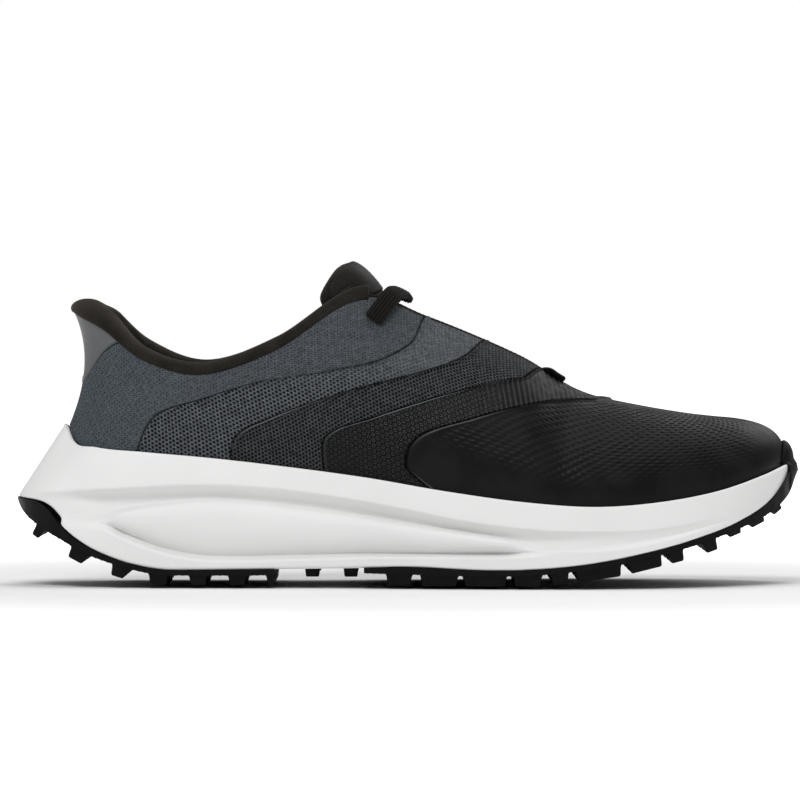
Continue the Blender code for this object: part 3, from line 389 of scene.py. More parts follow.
def sheet_solid(name, parts, look, slot, coarse, **how):
    """Closed sheet: fine outer grids, inner grids thinned to every coarse-th point, and the rim between."""
    shell = Shell()
    rims = []
    for outer, inner, note in parts:
        ids = shell.grid(outer, note)
        back = shell.grid(inner[::coarse, ::coarse], note[::coarse, ::coarse])
        for fine, wide in ((ids[0], back[0]), (ids[-1], back[-1]), (ids[:, 0], back[:, 0]),
                           (ids[:, -1], back[:, -1])):
            for j in range(len(wide) - 1):
                rims.append((fine[j * coarse:(j + 1) * coarse + 1], wide[j + 1], wide[j]))
    points = np.round(np.concatenate(shell.points) * 500).astype(np.int64)
    _, welded = np.unique(points, axis=0, return_inverse=True)
    welded = welded.ravel()
    fronts = welded[np.concatenate(shell.quads[::2])]
    edges = np.sort(np.stack([fronts, np.roll(fronts, -1, axis=1)], axis=-1).reshape(-1, 2), axis=1)
    keys, uses = np.unique(edges[:, 0] * len(points) + edges[:, 1], return_counts=True)
    for fine, after, before in rims:
        a, b = sorted((welded[fine[0]], welded[fine[1]]))
        found = np.searchsorted(keys, a * len(points) + b)
        if a != b and found < len(keys) and uses[found] == 1:
            shell.loops.append([*fine, after, before])
    return shell.build(name, look, slot, **how)


def noted(along, across):
    """Note of each point of a grid: its places along and across the cloth, and no painted highlight."""
    return np.stack(np.broadcast_arrays(along, across, 0.0), axis=-1)


def cumulative(points, axis):
    """Distance run along one axis of a grid of points."""
    step = np.linalg.norm(np.diff(points, axis=axis), axis=-1)
    start = np.zeros_like(np.take(step, [0], axis=axis))
    return np.concatenate([start, np.cumsum(step, axis=axis)], axis=axis)


def fade(x, none, full):
    """Smooth step from 0 where x is none to 1 where x is full."""
    share = np.clip((np.asarray(x, float) - none) / (full - none), 0, 1)
    return share ** 2 * (3 - 2 * share)


# Distance along the upper at mid height, and its height from feather line to top edge, by station.
RUN_STATIONS = np.linspace(0, ROUND, 1801)
RUN_LENGTH = cumulative(wall(RUN_STATIONS, 0.45)[None], 1)[0]
RISE = cumulative(wall(RUN_STATIONS[:, None], np.linspace(0, 1, 25)[None, :]), 1)[:, -1]


def sheet_place(u, v, painted_highlight_share=0.0):
    """Place on the upper's cloth, in mm: along it from the heel centre, up it from the feather line, and the
    share of painted highlight.
    """
    u, v = np.broadcast_arrays(u, v)
    near = np.where(u % ROUND > TOE, ROUND - u % ROUND, u % ROUND)
    return np.stack([np.interp(near, RUN_STATIONS, RUN_LENGTH), v * np.interp(near, RUN_STATIONS, RISE),
                     np.broadcast_to(painted_highlight_share, u.shape)], axis=-1)


# ---------------------------------------------------------------- materials


# Pale grey painted along the seam beads as a highlight.
PAINTED_HIGHLIGHT_GREY = (0.16, 0.165, 0.17)


class Look:
    """Node material: a Principled shader, with short calls for the nodes that feed it."""

    def __init__(self, name, colour, roughness, **sockets):
        self.material = bpy.data.materials.new(name)
        self.material.use_nodes = True
        self.tree = self.material.node_tree
        self.shader = self.tree.nodes["Principled BSDF"]
        self.set("Base Color", (*colour, 1.0))
        self.set("Roughness", roughness)
        for socket, value in sockets.items():
            self.set(socket.replace("_", " "), value)
        self.material.diffuse_color = (*colour, 1.0)
        self.here = self.node("ShaderNodeTexCoord").outputs["Object"]
        place = self.node("ShaderNodeAttribute")
        place.attribute_name = "sheet"
        self.sheet = place.outputs["Vector"]

    def set(self, socket, value):
        """Gives a shader socket a value or links it."""
        if isinstance(value, bpy.types.NodeSocket):
            self.tree.links.new(value, self.shader.inputs[socket])
        else:
            self.shader.inputs[socket].default_value = value

    def node(self, kind, *inputs, **settings):
        """New node with its inputs linked or filled in order."""
        made = self.tree.nodes.new(kind)
        for key, value in settings.items():
            setattr(made, key, value)
        for k, value in enumerate(inputs):
            if isinstance(value, bpy.types.NodeSocket):
                self.tree.links.new(value, made.inputs[k])
            elif value is not None:
                made.inputs[k].default_value = value
        return made

    def math(self, operation, *inputs, clamp=False):
        return self.node("ShaderNodeMath", *inputs, operation=operation, use_clamp=clamp).outputs[0]

    def along(self, vector, direction):
        """Length of a vector along a direction."""
        return self.node("ShaderNodeVectorMath", vector, direction, operation="DOT_PRODUCT").outputs["Value"]

    def noise(self, size, detail=2.0, rough=0.5, vector=None):
        """Noise between 0 and 1 with features of about the given size in mm."""
        made = self.node("ShaderNodeTexNoise")
        self.tree.links.new(vector or self.here, made.inputs["Vector"])
        made.inputs["Scale"].default_value = (1.0 if vector else 1000.0) / size
        made.inputs["Detail"].default_value = detail
        made.inputs["Roughness"].default_value = rough
        return made.outputs["Fac"]

    def cells(self, size):
        """Distance from the middles of small cells of the given size in mm."""
        made = self.node("ShaderNodeTexVoronoi")
        self.tree.links.new(self.here, made.inputs["Vector"])
        made.inputs["Scale"].default_value = 1000.0 / size
        return made.outputs["Distance"]

    def wave(self, vector, direction, pitch, shift=0.0):
        """Cosine across a direction with the given pitch in the vector's unit."""
        scale = 2 * math.pi / pitch / math.hypot(*direction)
        turned = self.along(vector, tuple(scale * d for d in direction) + (0.0,))
        return self.math("COSINE", self.math("ADD", turned, shift))

    def crossed(self, operation, slope, pitch):
        """Two waves that slant opposite ways across the cloth, joined by an operation."""
        waves = [self.wave(self.sheet, (1, way), pitch) for way in (slope, -slope)]
        return self.math(operation, *waves)

    def hexagons(self, pitch):
        """Sum of three cosines: 3 at the points of a triangular lattice, down to -1.5 between them."""
        step = pitch * math.sqrt(3) / 2
        turns = (0.0, math.pi / 3, -math.pi / 3)
        waves = [self.wave(self.sheet, (math.cos(a), math.sin(a)), step) for a in turns]
        return self.math("ADD", self.math("ADD", waves[0], waves[1]), waves[2])

    def range(self, value, low, high, to_low=0.0, to_high=1.0):
        """Value moved smoothly from one range to another, and held at its ends."""
        made = self.node("ShaderNodeMapRange", value, low, high, to_low, to_high)
        made.interpolation_type = "SMOOTHSTEP"
        return made.outputs[0]

    def mix(self, share, a, b):
        """Colour between a and b."""
        made = self.node("ShaderNodeMix", data_type="RGBA")
        for socket, value in (("Factor", share), ("A", a), ("B", b)):
            kind = "Factor_Float" if socket == "Factor" else socket + "_Color"
            target = next(i for i in made.inputs if i.identifier == kind)
            if isinstance(value, bpy.types.NodeSocket):
                self.tree.links.new(value, target)
            else:
                target.default_value = value if socket == "Factor" else (*value, 1.0)
        return next(o for o in made.outputs if o.identifier == "Result_Color")

    def with_painted_highlight(self, colour):
        """Colour with a painted highlight: paler along the panel's seam bead, by the share in the sheet
        attribute's third value.
        """
        return self.mix(self.along(self.sheet, (0.0, 0.0, 1.0)), colour, PAINTED_HIGHLIGHT_GREY)

    def height(self, *heights):
        """Bump from (height socket, depth in mm) pairs."""
        total = None
        for value, depth in heights:
            scaled = self.math("MULTIPLY", value, depth)
            total = scaled if total is None else self.math("ADD", total, scaled)
        bump = self.node("ShaderNodeBump")
        bump.inputs["Strength"].default_value = 1.0
        bump.inputs["Distance"].default_value = MM
        self.tree.links.new(total, bump.inputs["Height"])
        self.set("Normal", bump.outputs["Normal"])


def srgb(red, green, blue):
    """Linear colour of an 8 bit display colour."""
    shares = [c / 255 for c in (red, green, blue)]
    return tuple(c / 12.92 if c <= 0.04 else ((c + 0.055) / 1.055) ** 2.4 for c in shares)


def knit_look(name, dark, light, dot, dot_size, dot_pitch, diamonds, spread=0.0):
    """Coated knit: fine loops, a lattice of dark dots and, towards the heel, faint diagonal lines."""
    look = Look(name, light, 0.72, Specular_IOR_Level=0.12)
    mottle = look.noise(1.6, 4.0, 0.7)
    loops = look.crossed("MULTIPLY", 0.75, 1.05)
    colour = look.mix(look.range(mottle, 0.3, 0.7), dark, light)
    colour = look.mix(look.range(loops, -0.3, 0.7, 0.0, 0.6), colour, tuple(0.3 * c for c in dark))
    if diamonds:
        lines = look.crossed("MAXIMUM", 0.7, 2.1)
        lit = look.range(lines, 0.6, 1.0, 0.0, 0.5)
        near_heel = look.range(look.along(look.sheet, (1.0, 0.0, 0.0)), 25.0, 95.0, 1.0, 0.0)
        teal = srgb(78, 92, 97)
        colour = look.mix(look.math("MULTIPLY", lit, near_heel), colour, teal)
    lattice = look.hexagons(dot_pitch)
    uneven = look.range(look.noise(2.2, 2.0), 0.3, 0.7, -0.35, 0.35)
    dots = look.range(look.math("ADD", lattice, uneven), 3.0 - dot_size, 3.0 - dot_size * 0.45)
    if spread:
        rise = look.along(look.sheet, (0.0, 1.0, 0.0))
        dots = look.math("MULTIPLY", dots, look.range(rise, spread * 0.55, spread, 1.0, 0.35))
    colour = look.mix(dots, colour, dot)
    look.set("Base Color", look.with_painted_highlight(colour))
    look.set("Roughness", look.range(dots, 0.0, 1.0, 0.66, 0.9))
    look.height((loops, 0.035), (dots, -0.16), (mottle, 0.05))
    return look.material


def ring_look():
    """Black coated film over knit: staggered rings and columns, with painted highlights on them that grow
    paler higher up.
    """
    look = Look("film_black", (0.008, 0.008, 0.009), 0.5, Specular_IOR_Level=0.1)
    lattice = look.hexagons(1.95)
    ring = look.math("MULTIPLY", look.range(lattice, -0.6, 0.5), look.range(lattice, 1.2, 2.4, 1.0, 0.0))
    ribs = look.range(look.wave(look.sheet, (1, 0.06), 2.1), 0.1, 0.9)
    forward = look.range(look.along(look.sheet, (1.0, 0.0, 0.0)), 172.0, 196.0)
    relief = look.math("ADD", look.math("MULTIPLY", ring, look.math("SUBTRACT", 1.0, forward)),
                       look.math("MULTIPLY", ribs, look.math("MULTIPLY", forward, 0.5)))
    broken = look.range(look.noise(1.3, 2.0), 0.25, 0.75, 0.35, 1.0)
    # Painted highlight: rings and ribs coloured paler, fading towards the bottom of the band.
    high = look.range(look.along(look.sheet, (0.0, 1.0, 0.0)), 4.0, 30.0, 0.5, 1.0)
    lit = look.math("MULTIPLY", look.math("MULTIPLY", relief, broken), high)
    look.set("Base Color", look.with_painted_highlight(look.mix(lit, (0.004, 0.004, 0.0045), srgb(78, 79, 80))))
    look.set("Roughness", look.range(look.noise(3.0), 0.3, 0.7, 0.45, 0.6))
    look.height((relief, 0.22), (look.noise(0.5, 3.0), 0.03))
    return look.material


def leather_look(name, colour, roughness, grain):
    """Synthetic leather: fine pebble grain and slightly uneven gloss."""
    look = Look(name, colour, roughness, Specular_IOR_Level=0.08)
    pebbles = look.cells(grain)
    cloud = look.noise(14.0, 3.0)
    base = look.mix(look.range(cloud, 0.35, 0.65), colour, tuple(1.5 * c for c in colour))
    look.set("Base Color", look.with_painted_highlight(base))
    look.set("Roughness", look.range(cloud, 0.3, 0.7, roughness - 0.05, roughness + 0.07))
    look.height((pebbles, 0.05), (look.noise(0.35, 3.0), 0.02))
    return look.material


def textile_look(name, colour, pitch, pile):
    """Brushed textile: crossed yarns under a short pile that catches light at the edges."""
    look = Look(name, colour, 0.95, Specular_IOR_Level=0.06, Sheen_Weight=pile, Sheen_Roughness=0.45)
    look.set("Sheen Tint", (0.32, 0.28, 0.24, 1.0))
    fuzz = look.noise(0.55, 4.0, 0.7)
    patches = look.noise(11.0, 3.0)
    yarns = look.math("MULTIPLY", *(look.wave(look.here, way, pitch * MM) for way in ((1, 0.3), (0.2, 1))))
    worn = look.range(look.math("MULTIPLY", fuzz, patches), 0.12, 0.4)
    look.set("Base Color", look.mix(worn, colour, tuple(2.1 * c for c in colour)))
    look.height((fuzz, 0.22), (yarns, 0.05), (patches, 0.2))
    return look.material


LACE_WIDTH, LACE_THICKNESS, LACE_RIBS = 7.4, 3.0, 6


def lace_look():
    """Woven lace: small slanting stitches along every rib, and painted shade in the grooves between the ribs.
    """
    look = Look("lace_weave", (0.012, 0.011, 0.010), 0.85, Specular_IOR_Level=0.06, Sheen_Weight=0.04)
    stitch = look.crossed("MULTIPLY", 1.1, 1.0)
    fuzz = look.noise(0.4, 3.0, 0.7)
    colour = look.mix(look.range(stitch, -0.2, 0.8), (0.005, 0.0043, 0.0035), (0.022, 0.019, 0.016))
    # Painted shade darkens the grooves between the ribs.
    painted_groove_shade = look.range(look.wave(look.sheet, (0, 1), LACE_WIDTH / LACE_RIBS, math.pi), 0.2, 0.95)
    look.set("Base Color", look.mix(painted_groove_shade, colour, (0.0015, 0.0013, 0.0012)))
    look.set("Roughness", look.range(fuzz, 0.3, 0.7, 0.75, 0.95))
    look.height((stitch, 0.12), (fuzz, 0.08))
    return look.material


def foam_look():
    """Moulded white foam with a faint skin texture."""
    look = Look("foam_white", (0.77, 0.77, 0.765), 0.62, Specular_IOR_Level=0.3)
    cloud = look.noise(35.0, 3.0)
    look.set("Base Color", look.mix(look.range(cloud, 0.3, 0.7), (0.76, 0.76, 0.755), (0.785, 0.785, 0.78)))
    look.set("Roughness", look.range(look.noise(1.1, 3.0), 0.3, 0.7, 0.55, 0.7))
    look.height((look.noise(0.8, 3.0, 0.6), 0.03), (look.noise(0.3, 1.0), 0.012))
    return look.material


def rubber_look():
    """Black moulded rubber with a little dust in its pores."""
    look = Look("rubber_black", (0.010, 0.010, 0.011), 0.55, Specular_IOR_Level=0.08)
    pores = look.noise(0.7, 3.0)
    dust = look.range(look.noise(6.0, 4.0, 0.6), 0.45, 0.8, 0.0, 0.6)
    look.set("Base Color", look.mix(dust, (0.005, 0.005, 0.005), (0.012, 0.0115, 0.011)))
    look.set("Roughness", look.range(dust, 0.0, 0.6, 0.48, 0.68))
    look.height((pores, 0.05), (look.noise(0.25, 1.0), 0.02))
    return look.material


def satin_look():
    """Satin grey film of the heel panel."""
    look = Look("film_grey", srgb(92, 93, 94), 0.5, Specular_IOR_Level=0.15)
    cloud = look.noise(16.0, 3.0)
    look.set("Base Color", look.mix(look.range(cloud, 0.3, 0.7), srgb(88, 89, 90), srgb(96, 97, 98)))
    look.set("Roughness", look.range(look.noise(2.0, 3.0), 0.3, 0.7, 0.46, 0.58))
    look.height((look.noise(0.5, 3.0, 0.6), 0.03), (look.cells(0.9), 0.02))
    return look.material


def board_look(name, colour):
    """Pressed fibre board."""
    look = Look(name, colour, 0.8)
    fibres = look.noise(1.5, 5.0, 0.7)
    look.set("Base Color", look.mix(look.range(fibres, 0.3, 0.7), tuple(0.75 * c for c in colour), colour))
    look.height((fibres, 0.12))
    return look.material


def open_foam_look():
    """Open-cell padding foam."""
    look = Look("foam_open_cell", (0.03, 0.03, 0.03), 0.95)
    pores = look.cells(0.9)
    shade = look.range(pores, 0.1, 0.6)
    look.set("Base Color", look.mix(shade, (0.012, 0.012, 0.012), (0.035, 0.035, 0.034)))
    look.height((pores, 0.3))
    return look.material


KNIT_GREY = knit_look("knit_grey", srgb(56, 61, 65), srgb(82, 87, 92), srgb(26, 29, 32), 1.0, 1.5, True)
KNIT_DOTS = knit_look("knit_dots", srgb(66, 70, 74), srgb(98, 103, 107), (0.003, 0.003, 0.004),
                      3.9, 1.62, False, 52.0)
KNIT_DARK = knit_look("knit_dark", srgb(44, 46, 48), srgb(76, 79, 82), (0.002, 0.002, 0.0025),
                      4.1, 1.5, False, 90.0)
FILM_BLACK = ring_look()
LEATHER = leather_look("leather_black", (0.0062, 0.0058, 0.0057), 0.38, 0.9)
PATCH = leather_look("leather_charcoal", srgb(26, 25, 23), 0.5, 0.8)
SATIN = satin_look()
TEXTILE = textile_look("textile_black", (0.010, 0.0088, 0.0075), 0.9, 0.35)
MESH_CLOTH = textile_look("mesh_black", (0.011, 0.011, 0.011), 1.4, 0.15)
SOCK = textile_look("sock_fabric", (0.02, 0.02, 0.022), 1.1, 0.3)
LACE = lace_look()
FOAM = foam_look()
RUBBER = rubber_look()
BOARD = board_look("board_fibre", (0.55, 0.5, 0.42))
OPEN_FOAM = open_foam_look()


# ---------------------------------------------------------------- sole


def sole_edge(u):
    """Lower edge of the foam."""
    plan = closed_spline(SOLE_ROWS, u)
    return np.concatenate([plan, smooth(FOAM_BOTTOM, plan[..., 0])[..., None]], axis=-1)


def across_sole(stations, columns, edge, height):
    """Grid between the lateral and medial edges; height gives z from x."""
    share = np.asarray(columns, float)[None, :, None]
    near, far = edge(stations), edge(ROUND - stations)
    grid = near[:, None] * (1 - share) + far[:, None] * share
    grid[..., 2] = height(grid[..., 0])
    return grid


RECESS_DEPTH = 5.2
POD_SWELL = 5.5
ROOF_FALL = 4.2
RIM_RISE = 1.7
# Where each fades in along the shoe: (none, full), at its rear and at its front.
RECESS_ENDS = (-134, -112), (128, 92)
POD_ENDS = (-117, -106), (58, 34)


def foam_relief(x, z):
    """How far the foam's side stands out of its plain wall: a long recess, a pod in it and a rim below."""
    top, deep, low = smooth(RECESS_TOP, x), smooth(POD_TOP, x), smooth(POD_BOTTOM, x)
    whole, pod = (fade(x, *rear) * fade(x, *front) for rear, front in (RECESS_ENDS, POD_ENDS))
    depth = RECESS_DEPTH * (0.3 + 0.7 * fade(x, 92, 16))
    roof = np.sin(np.clip((top - z) / ROOF_FALL, 0, 1) * math.pi / 2)
    down = np.clip((deep - z) / np.maximum(deep - low, 0.5), 0, 1)
    swell = POD_SWELL * pod * (1 - np.abs(2 * down ** 0.7 - 1) ** 2.2) ** 0.6
    open_floor = -depth * (1 - fade(down, 0.0, 1.0))
    pod_floor = -depth * (1 + 0.12 * down) + swell
    floor = open_floor + (pod_floor - open_floor) * pod
    rim = -1.12 * depth * pod * (1 - fade(low - z, 0.0, RIM_RISE))
    relief = np.where(z > deep, -depth * roof, np.where(z > low, floor, rim))
    return relief * whole


def foam_side(u, rows=112):
    """Rows of the foam's side from the rim inside the cup, over the lip and down to the lower edge."""
    foot, edge, side = feather(u), sole_edge(u), outward(u)
    lip = foot + side * 2.3
    lip[..., 2] -= 0.6
    fall = np.linspace(0, 1, rows)[None, :, None]
    wall_side = lip[:, None] + (edge - lip)[:, None] * fall
    relief = foam_relief(foot[:, None, 0], wall_side[..., 2])
    kernel = np.array([1, 2, 3, 2, 1.0]) / 9
    padded = np.pad(relief, ((0, 0), (2, 2)), mode="edge")
    relief = sum(k * padded[:, i:i + rows] for i, k in enumerate(kernel))
    round_off = 1.3 * (1 - np.sqrt(1 - np.clip((fall[..., 0] - 0.965) / 0.035, 0, 1) ** 2))
    wall_side += side[:, None] * (relief - round_off)[..., None]
    inner = foot + side * 0.55
    inner[..., 2] -= 1.4
    turn = np.linspace(0, math.pi / 2, 6)[1:-1, None]
    start = foot + side * 0.55
    start[..., 2] -= 0.2
    crown = [start + (lip - start) * np.sin(a) + np.array([0, 0, 0.75]) * np.sin(2 * a) for a in turn]
    return np.concatenate([inner[:, None], start[:, None], np.stack(crown, axis=1), wall_side], axis=1)


def add_midsole():
    """Foam with its cupped rim, sculpted sides, bed and underside."""
    half = np.linspace(0, TOE, 331)
    around = np.concatenate([half, ROUND - half[-2:0:-1]])
    shell = Shell()

    def bed_edge(u):
        return feather(u) - outward(u) * 2.2

    rim = bed_edge(around)
    rim[..., 2] = smooth(BED_HEIGHT, rim[..., 0])
    side = foam_side(around)
    shell.grid(np.concatenate([rim[:, None], side], axis=1), closed=True)
    columns = np.linspace(0, 1, 13)
    shell.grid(across_sole(half, columns, bed_edge, lambda x: smooth(BED_HEIGHT, x)))
    lower = side[:, -1]
    tip = len(half) - 1
    near, far = lower[:tip + 1], np.concatenate([lower[:1], lower[:tip:-1], lower[tip:tip + 1]])
    share = columns[None, :, None]
    shell.grid(near[:, None] * (1 - share) + far[:, None] * share)
    shell.build("foam_midsole", FOAM, "white_foam", ["midsole"], sharp=42)


LUG_COLUMNS = [(0.0, 0.17), (0.26, 0.43), (0.57, 0.74), (0.83, 1.0)]
HEEL_LUGS = [(-143, -139.5), (-129, -122.5), (-113, -107), (-99, -91.5), (-83.5, -76.5), (-68.5, -61.5),
             (-54, -50.5)]
FORE_LUGS = [(-8, 2), (5, 19.5), (21.5, 38), (40.5, 51.5), (54.5, 61.5), (64, 81.5), (84, 97),
             (99.5, 105.5), (113, 118.5), (123, 128.5), (132, 138), (141, 145)]
EDGE_U = np.linspace(0, TOE, 901)
NEAR_EDGE, FAR_EDGE = sole_edge(EDGE_U), sole_edge(ROUND - EDGE_U)


def tread_point(x, share, tread):
    """Point on the tread at x, a share of the way from the lateral to the medial edge."""
    near, far = np.interp(x, NEAR_EDGE[:, 0], NEAR_EDGE[:, 1]), np.interp(x, FAR_EDGE[:, 0], FAR_EDGE[:, 1])
    return np.array([x, near + (far - near) * share, float(smooth(tread, x))])


def rounded_loop(corners, radius):
    """Closed loop through four corners, each rounded with five points."""
    loop = []
    for k in range(4):
        corner, before, after = corners[k], corners[k - 1], corners[(k + 1) % 4]
        a = corner + (before - corner) / np.linalg.norm(before - corner) * radius
        b = corner + (after - corner) / np.linalg.norm(after - corner) * radius
        for t in np.linspace(0, 1, 5):
            loop.append(a * (1 - t) ** 2 + 2 * corner * t * (1 - t) + b * t ** 2)
    return np.array(loop)


# Section of a lug: how far each ring is set in from the outline, and its share of the depth.
LUG_SECTION = [(-0.5, -0.16), (-0.25, 0.0), (0.15, 0.2), (0.55, 0.8), (0.75, 0.93), (1.15, 1.0)]
EDGE_INSET = 0.5


def add_lug(shell, span, shares, tread, depth, flat_z):
    """Tapered lug with rounded corners and a chamfered face."""
    corners = [tread_point(span[0], shares[0], tread), tread_point(span[1], shares[0], tread),
               tread_point(span[1], shares[1], tread), tread_point(span[0], shares[1], tread)]
    if shares[0] == 0.0:
        corners[0][1] += EDGE_INSET
        corners[1][1] += EDGE_INSET
    if shares[1] == 1.0:
        corners[2][1] -= EDGE_INSET
        corners[3][1] -= EDGE_INSET
    along, over = corners[1] - corners[0], corners[3] - corners[0]
    normal = np.cross(over, along)
    normal /= np.linalg.norm(normal)
    rings = []
    half_along, half_over = np.linalg.norm(along) / 2, np.linalg.norm(over) / 2
    for inset, drop in LUG_SECTION:
        ring = []
        for k, corner in enumerate(corners):
            forward, outboard = (1 if k in (1, 2) else -1), (1 if k in (2, 3) else -1)
            foot = corner - along / 2 / half_along * forward * inset - over / 2 / half_over * outboard * inset
            if flat_z is None:
                foot = foot + normal * depth * drop
            else:
                foot[2] += (flat_z - foot[2]) * max(drop, 0) + 4.3 * max(-drop, 0)
            ring.append(foot)
        rings.append(rounded_loop(ring, 0.9))
    grid = np.stack(rings, axis=1)
    ids = shell.grid(grid, closed=True)
    shell.cap(ids)


def add_ribs(shell, start, end, tread, pitch=2.4):
    """Small ribs across the tread's edges, between the lugs."""
    for x in np.arange(start, end, pitch):
        for shares in ((0.004, 0.15), (0.85, 0.996)):
            loops = []
            for share in shares:
                base = tread_point(x, share, tread)
                turn = np.linspace(0, math.pi, 7)
                bows = [[-0.45 * math.cos(a), 0, 0.25 - 0.42 * math.sin(a)] for a in turn]
                loops.append(np.array([base + bow for bow in bows]))
            ids = shell.grid(np.array(loops))
            shell.loops += [[int(k) for k in ids[0]], [int(k) for k in ids[1][::-1]],
                            [int(k) for k in (ids[0, 0], ids[1, 0], ids[1, -1], ids[0, -1])]]


def add_tread(shell, stations, tread, edge, columns):
    """Rubber layer between the foam and the tread's face."""
    top = across_sole(stations, columns, edge, lambda x: smooth(FOAM_BOTTOM, x) - 0.1)
    bottom = across_sole(stations, columns, edge, lambda x: smooth(tread, x))
    shell.grid(top)
    shell.grid(bottom)
    shell.rim(top, bottom)


def add_lugs(shell, spans, tread, flat_span):
    """Rows of lugs across the tread; those in the flat span end on the ground."""
    for span in spans:
        for k, shares in enumerate(LUG_COLUMNS):
            middle = sum(span) / 2
            flat = (0.8 if k in (0, 3) else 0.0) if flat_span[0] < middle < flat_span[1] else None
            add_lug(shell, span, shares, tread, 1.8 + 2.5 * float(fade(middle, 124, 116)), flat)


HEEL_RUBBER_END, FORE_RUBBER_START = -50.5, -16.5
HEEL_FLAT, FORE_FLAT = (-101, -59), (4, 53)


def add_heel_outsole():
    shell = Shell()
    stations = np.linspace(0, station_at(HEEL_RUBBER_END, sole_edge), 121)
    add_tread(shell, stations, HEEL_TREAD, sole_edge, np.linspace(0, 1, 17))
    add_lugs(shell, HEEL_LUGS, HEEL_TREAD, HEEL_FLAT)
    add_ribs(shell, -146, -51, HEEL_TREAD)
    shell.build("tread_heel", RUBBER, "black_rubber", ["heel_outsole"])


def toe_swell(u):
    """Edge of the rubber, which stands out a little round the toe."""
    near_toe = np.clip((fold(u) - 12.0) / 3.0, 0, 1)[..., None]
    return sole_edge(u) + outward(u, SOLE_ROWS) * 2.4 * near_toe ** 2


BUMPER_REACH = 0.9


def add_toe_bumper(shell):
    """Rubber that turns up over the toe tip."""
    around = np.linspace(TOE - BUMPER_REACH, TOE + BUMPER_REACH, 63)
    grow = np.sqrt(np.cos((around - TOE) / BUMPER_REACH * math.pi / 2).clip(0, 1))
    front = toe_swell(around)
    front[..., 2] = smooth(FORE_TREAD, front[..., 0])
    back = sole_edge(around)
    back[..., 2] -= 0.1
    lip = feather(around) + outward(around) * 2.75
    inner = [back, lip]
    outer = [front, (front + lip) / 2 + outward(around) * (0.5 + 1.3 * grow[:, None]),
             lip + outward(around) * (0.4 + 1.4 * grow[:, None])]
    for turn in np.linspace(0.1, math.pi / 2, 9):
        v = 0.03 + 0.27 * math.sin(turn) * grow
        inner.append(upper(around, v, -0.2 + 0 * v))
        outer.append(upper(around, v, -0.3 - (0.2 + 2.9 * math.cos(turn)) * grow))
    loop = np.array(outer + inner[::-1])
    shell.grid(loop, closed=True)
    for k in (0, -1):
        ids = shell.add(loop[:, k])
        shell.loops.append([int(i) for i in ids])


def add_forefoot_outsole():
    shell = Shell()
    start = station_at(FORE_RUBBER_START, sole_edge)
    stations = np.concatenate([np.linspace(start, 13.4, 190), np.linspace(13.45, TOE, 24)])
    add_tread(shell, stations, FORE_TREAD, toe_swell, np.linspace(0, 1, 21))
    add_lugs(shell, FORE_LUGS, FORE_TREAD, FORE_FLAT)
    add_ribs(shell, -15, 140, FORE_TREAD)
    add_toe_bumper(shell)
    shell.build("tread_forefoot", RUBBER, "black_rubber", ["forefoot_outsole"])


STUDS = [("stud_lateral_rear", -36.3, -30), ("stud_lateral_front", -21.5, -31),
         ("stud_medial_rear", -36.3, 26), ("stud_medial_front", -21.5, 26)]


def add_studs():
    """Small studs let into the bare foam."""
    for name, x, y in STUDS:
        shell = Shell()
        top = float(smooth(FOAM_BOTTOM, x)) + 0.1
        rings = []
        for scale, z in ((1.0, top), (0.94, top - 0.5), (0.84, 4.4), (0.8, 4.0), (0.72, 3.9)):
            dx, dy = 3.0 * scale, 7.0 * scale
            corners = [np.array([x + a * dx, y + b * dy, z]) for a, b in ((-1, -1), (1, -1), (1, 1), (-1, 1))]
            rings.append(rounded_loop(corners, 1.0))
        ids = shell.grid(np.stack(rings, axis=1), closed=True)
        shell.cap(ids)
        shell.build("rubber_" + name, RUBBER, "black_rubber", [name])


# ---------------------------------------------------------------- upper panels

SEAM_GAP = 0.11
SEAM_STEP = 0.75
BEAD = 0.75


def resampled(curve, count):
    """Curve of (station, v) points read at count evenly spaced places."""
    run = np.linspace(0, len(curve) - 1, count)
    places = np.arange(len(curve))
    return np.stack([smooth(np.stack([places, column], axis=1), run) for column in curve.T], axis=1)


# Rough millimetres for one station and for the whole rise.
CLOTH_SCALE = np.array([28, 70])


def inset_seam(curve, side):
    """Seam moved by half the gap: side 1 moves it towards the toe, -1 towards the heel."""
    run = np.gradient(curve * CLOTH_SCALE, axis=0)
    run /= np.linalg.norm(run, axis=1, keepdims=True)
    moved = curve + side * SEAM_GAP * np.stack([run[:, 1], -run[:, 0]], axis=1) / CLOTH_SCALE
    moved[:, 1] = np.clip(moved[:, 1], 0, 1)
    moved[0, 1], moved[-1, 1] = 0, 1
    return moved


def between(rear, front, columns, side):
    """Stations and heights between two curves, on the lateral (-1) or medial (1) side."""
    share = np.linspace(0, 1, columns)[:, None, None]
    spots = rear[None] * (1 - share) + front[None] * share
    u, v = spots[..., 0], spots[..., 1]
    return (u if side < 0 else ROUND - u), v


def edge_drop(distance, step=SEAM_STEP, reach=0.9):
    """Rounded edge of a panel: step below its face at the edge, level with it after reach."""
    near = 1 - np.clip(distance / reach, 0, 1)
    return -step * (1 - np.sqrt(1 - near ** 2))


def panel_relief(u, v, beads, open_ends=(True, True)):
    """Height of a panel over its plain face, in mm: rounded edges, and a bead along its rear seam."""
    face = wall(u, np.clip(v, 0, 1))
    ahead = cumulative(face, 0)
    behind = ahead[-1:] - ahead
    relief = np.zeros_like(ahead)
    if open_ends[0]:
        relief += edge_drop(ahead)
    if open_ends[1]:
        relief += edge_drop(behind)
    if beads:
        relief += BEAD * np.exp(-((ahead - 1.1) / 0.75) ** 2) * fade(v, 0.0, 0.08)
    return relief


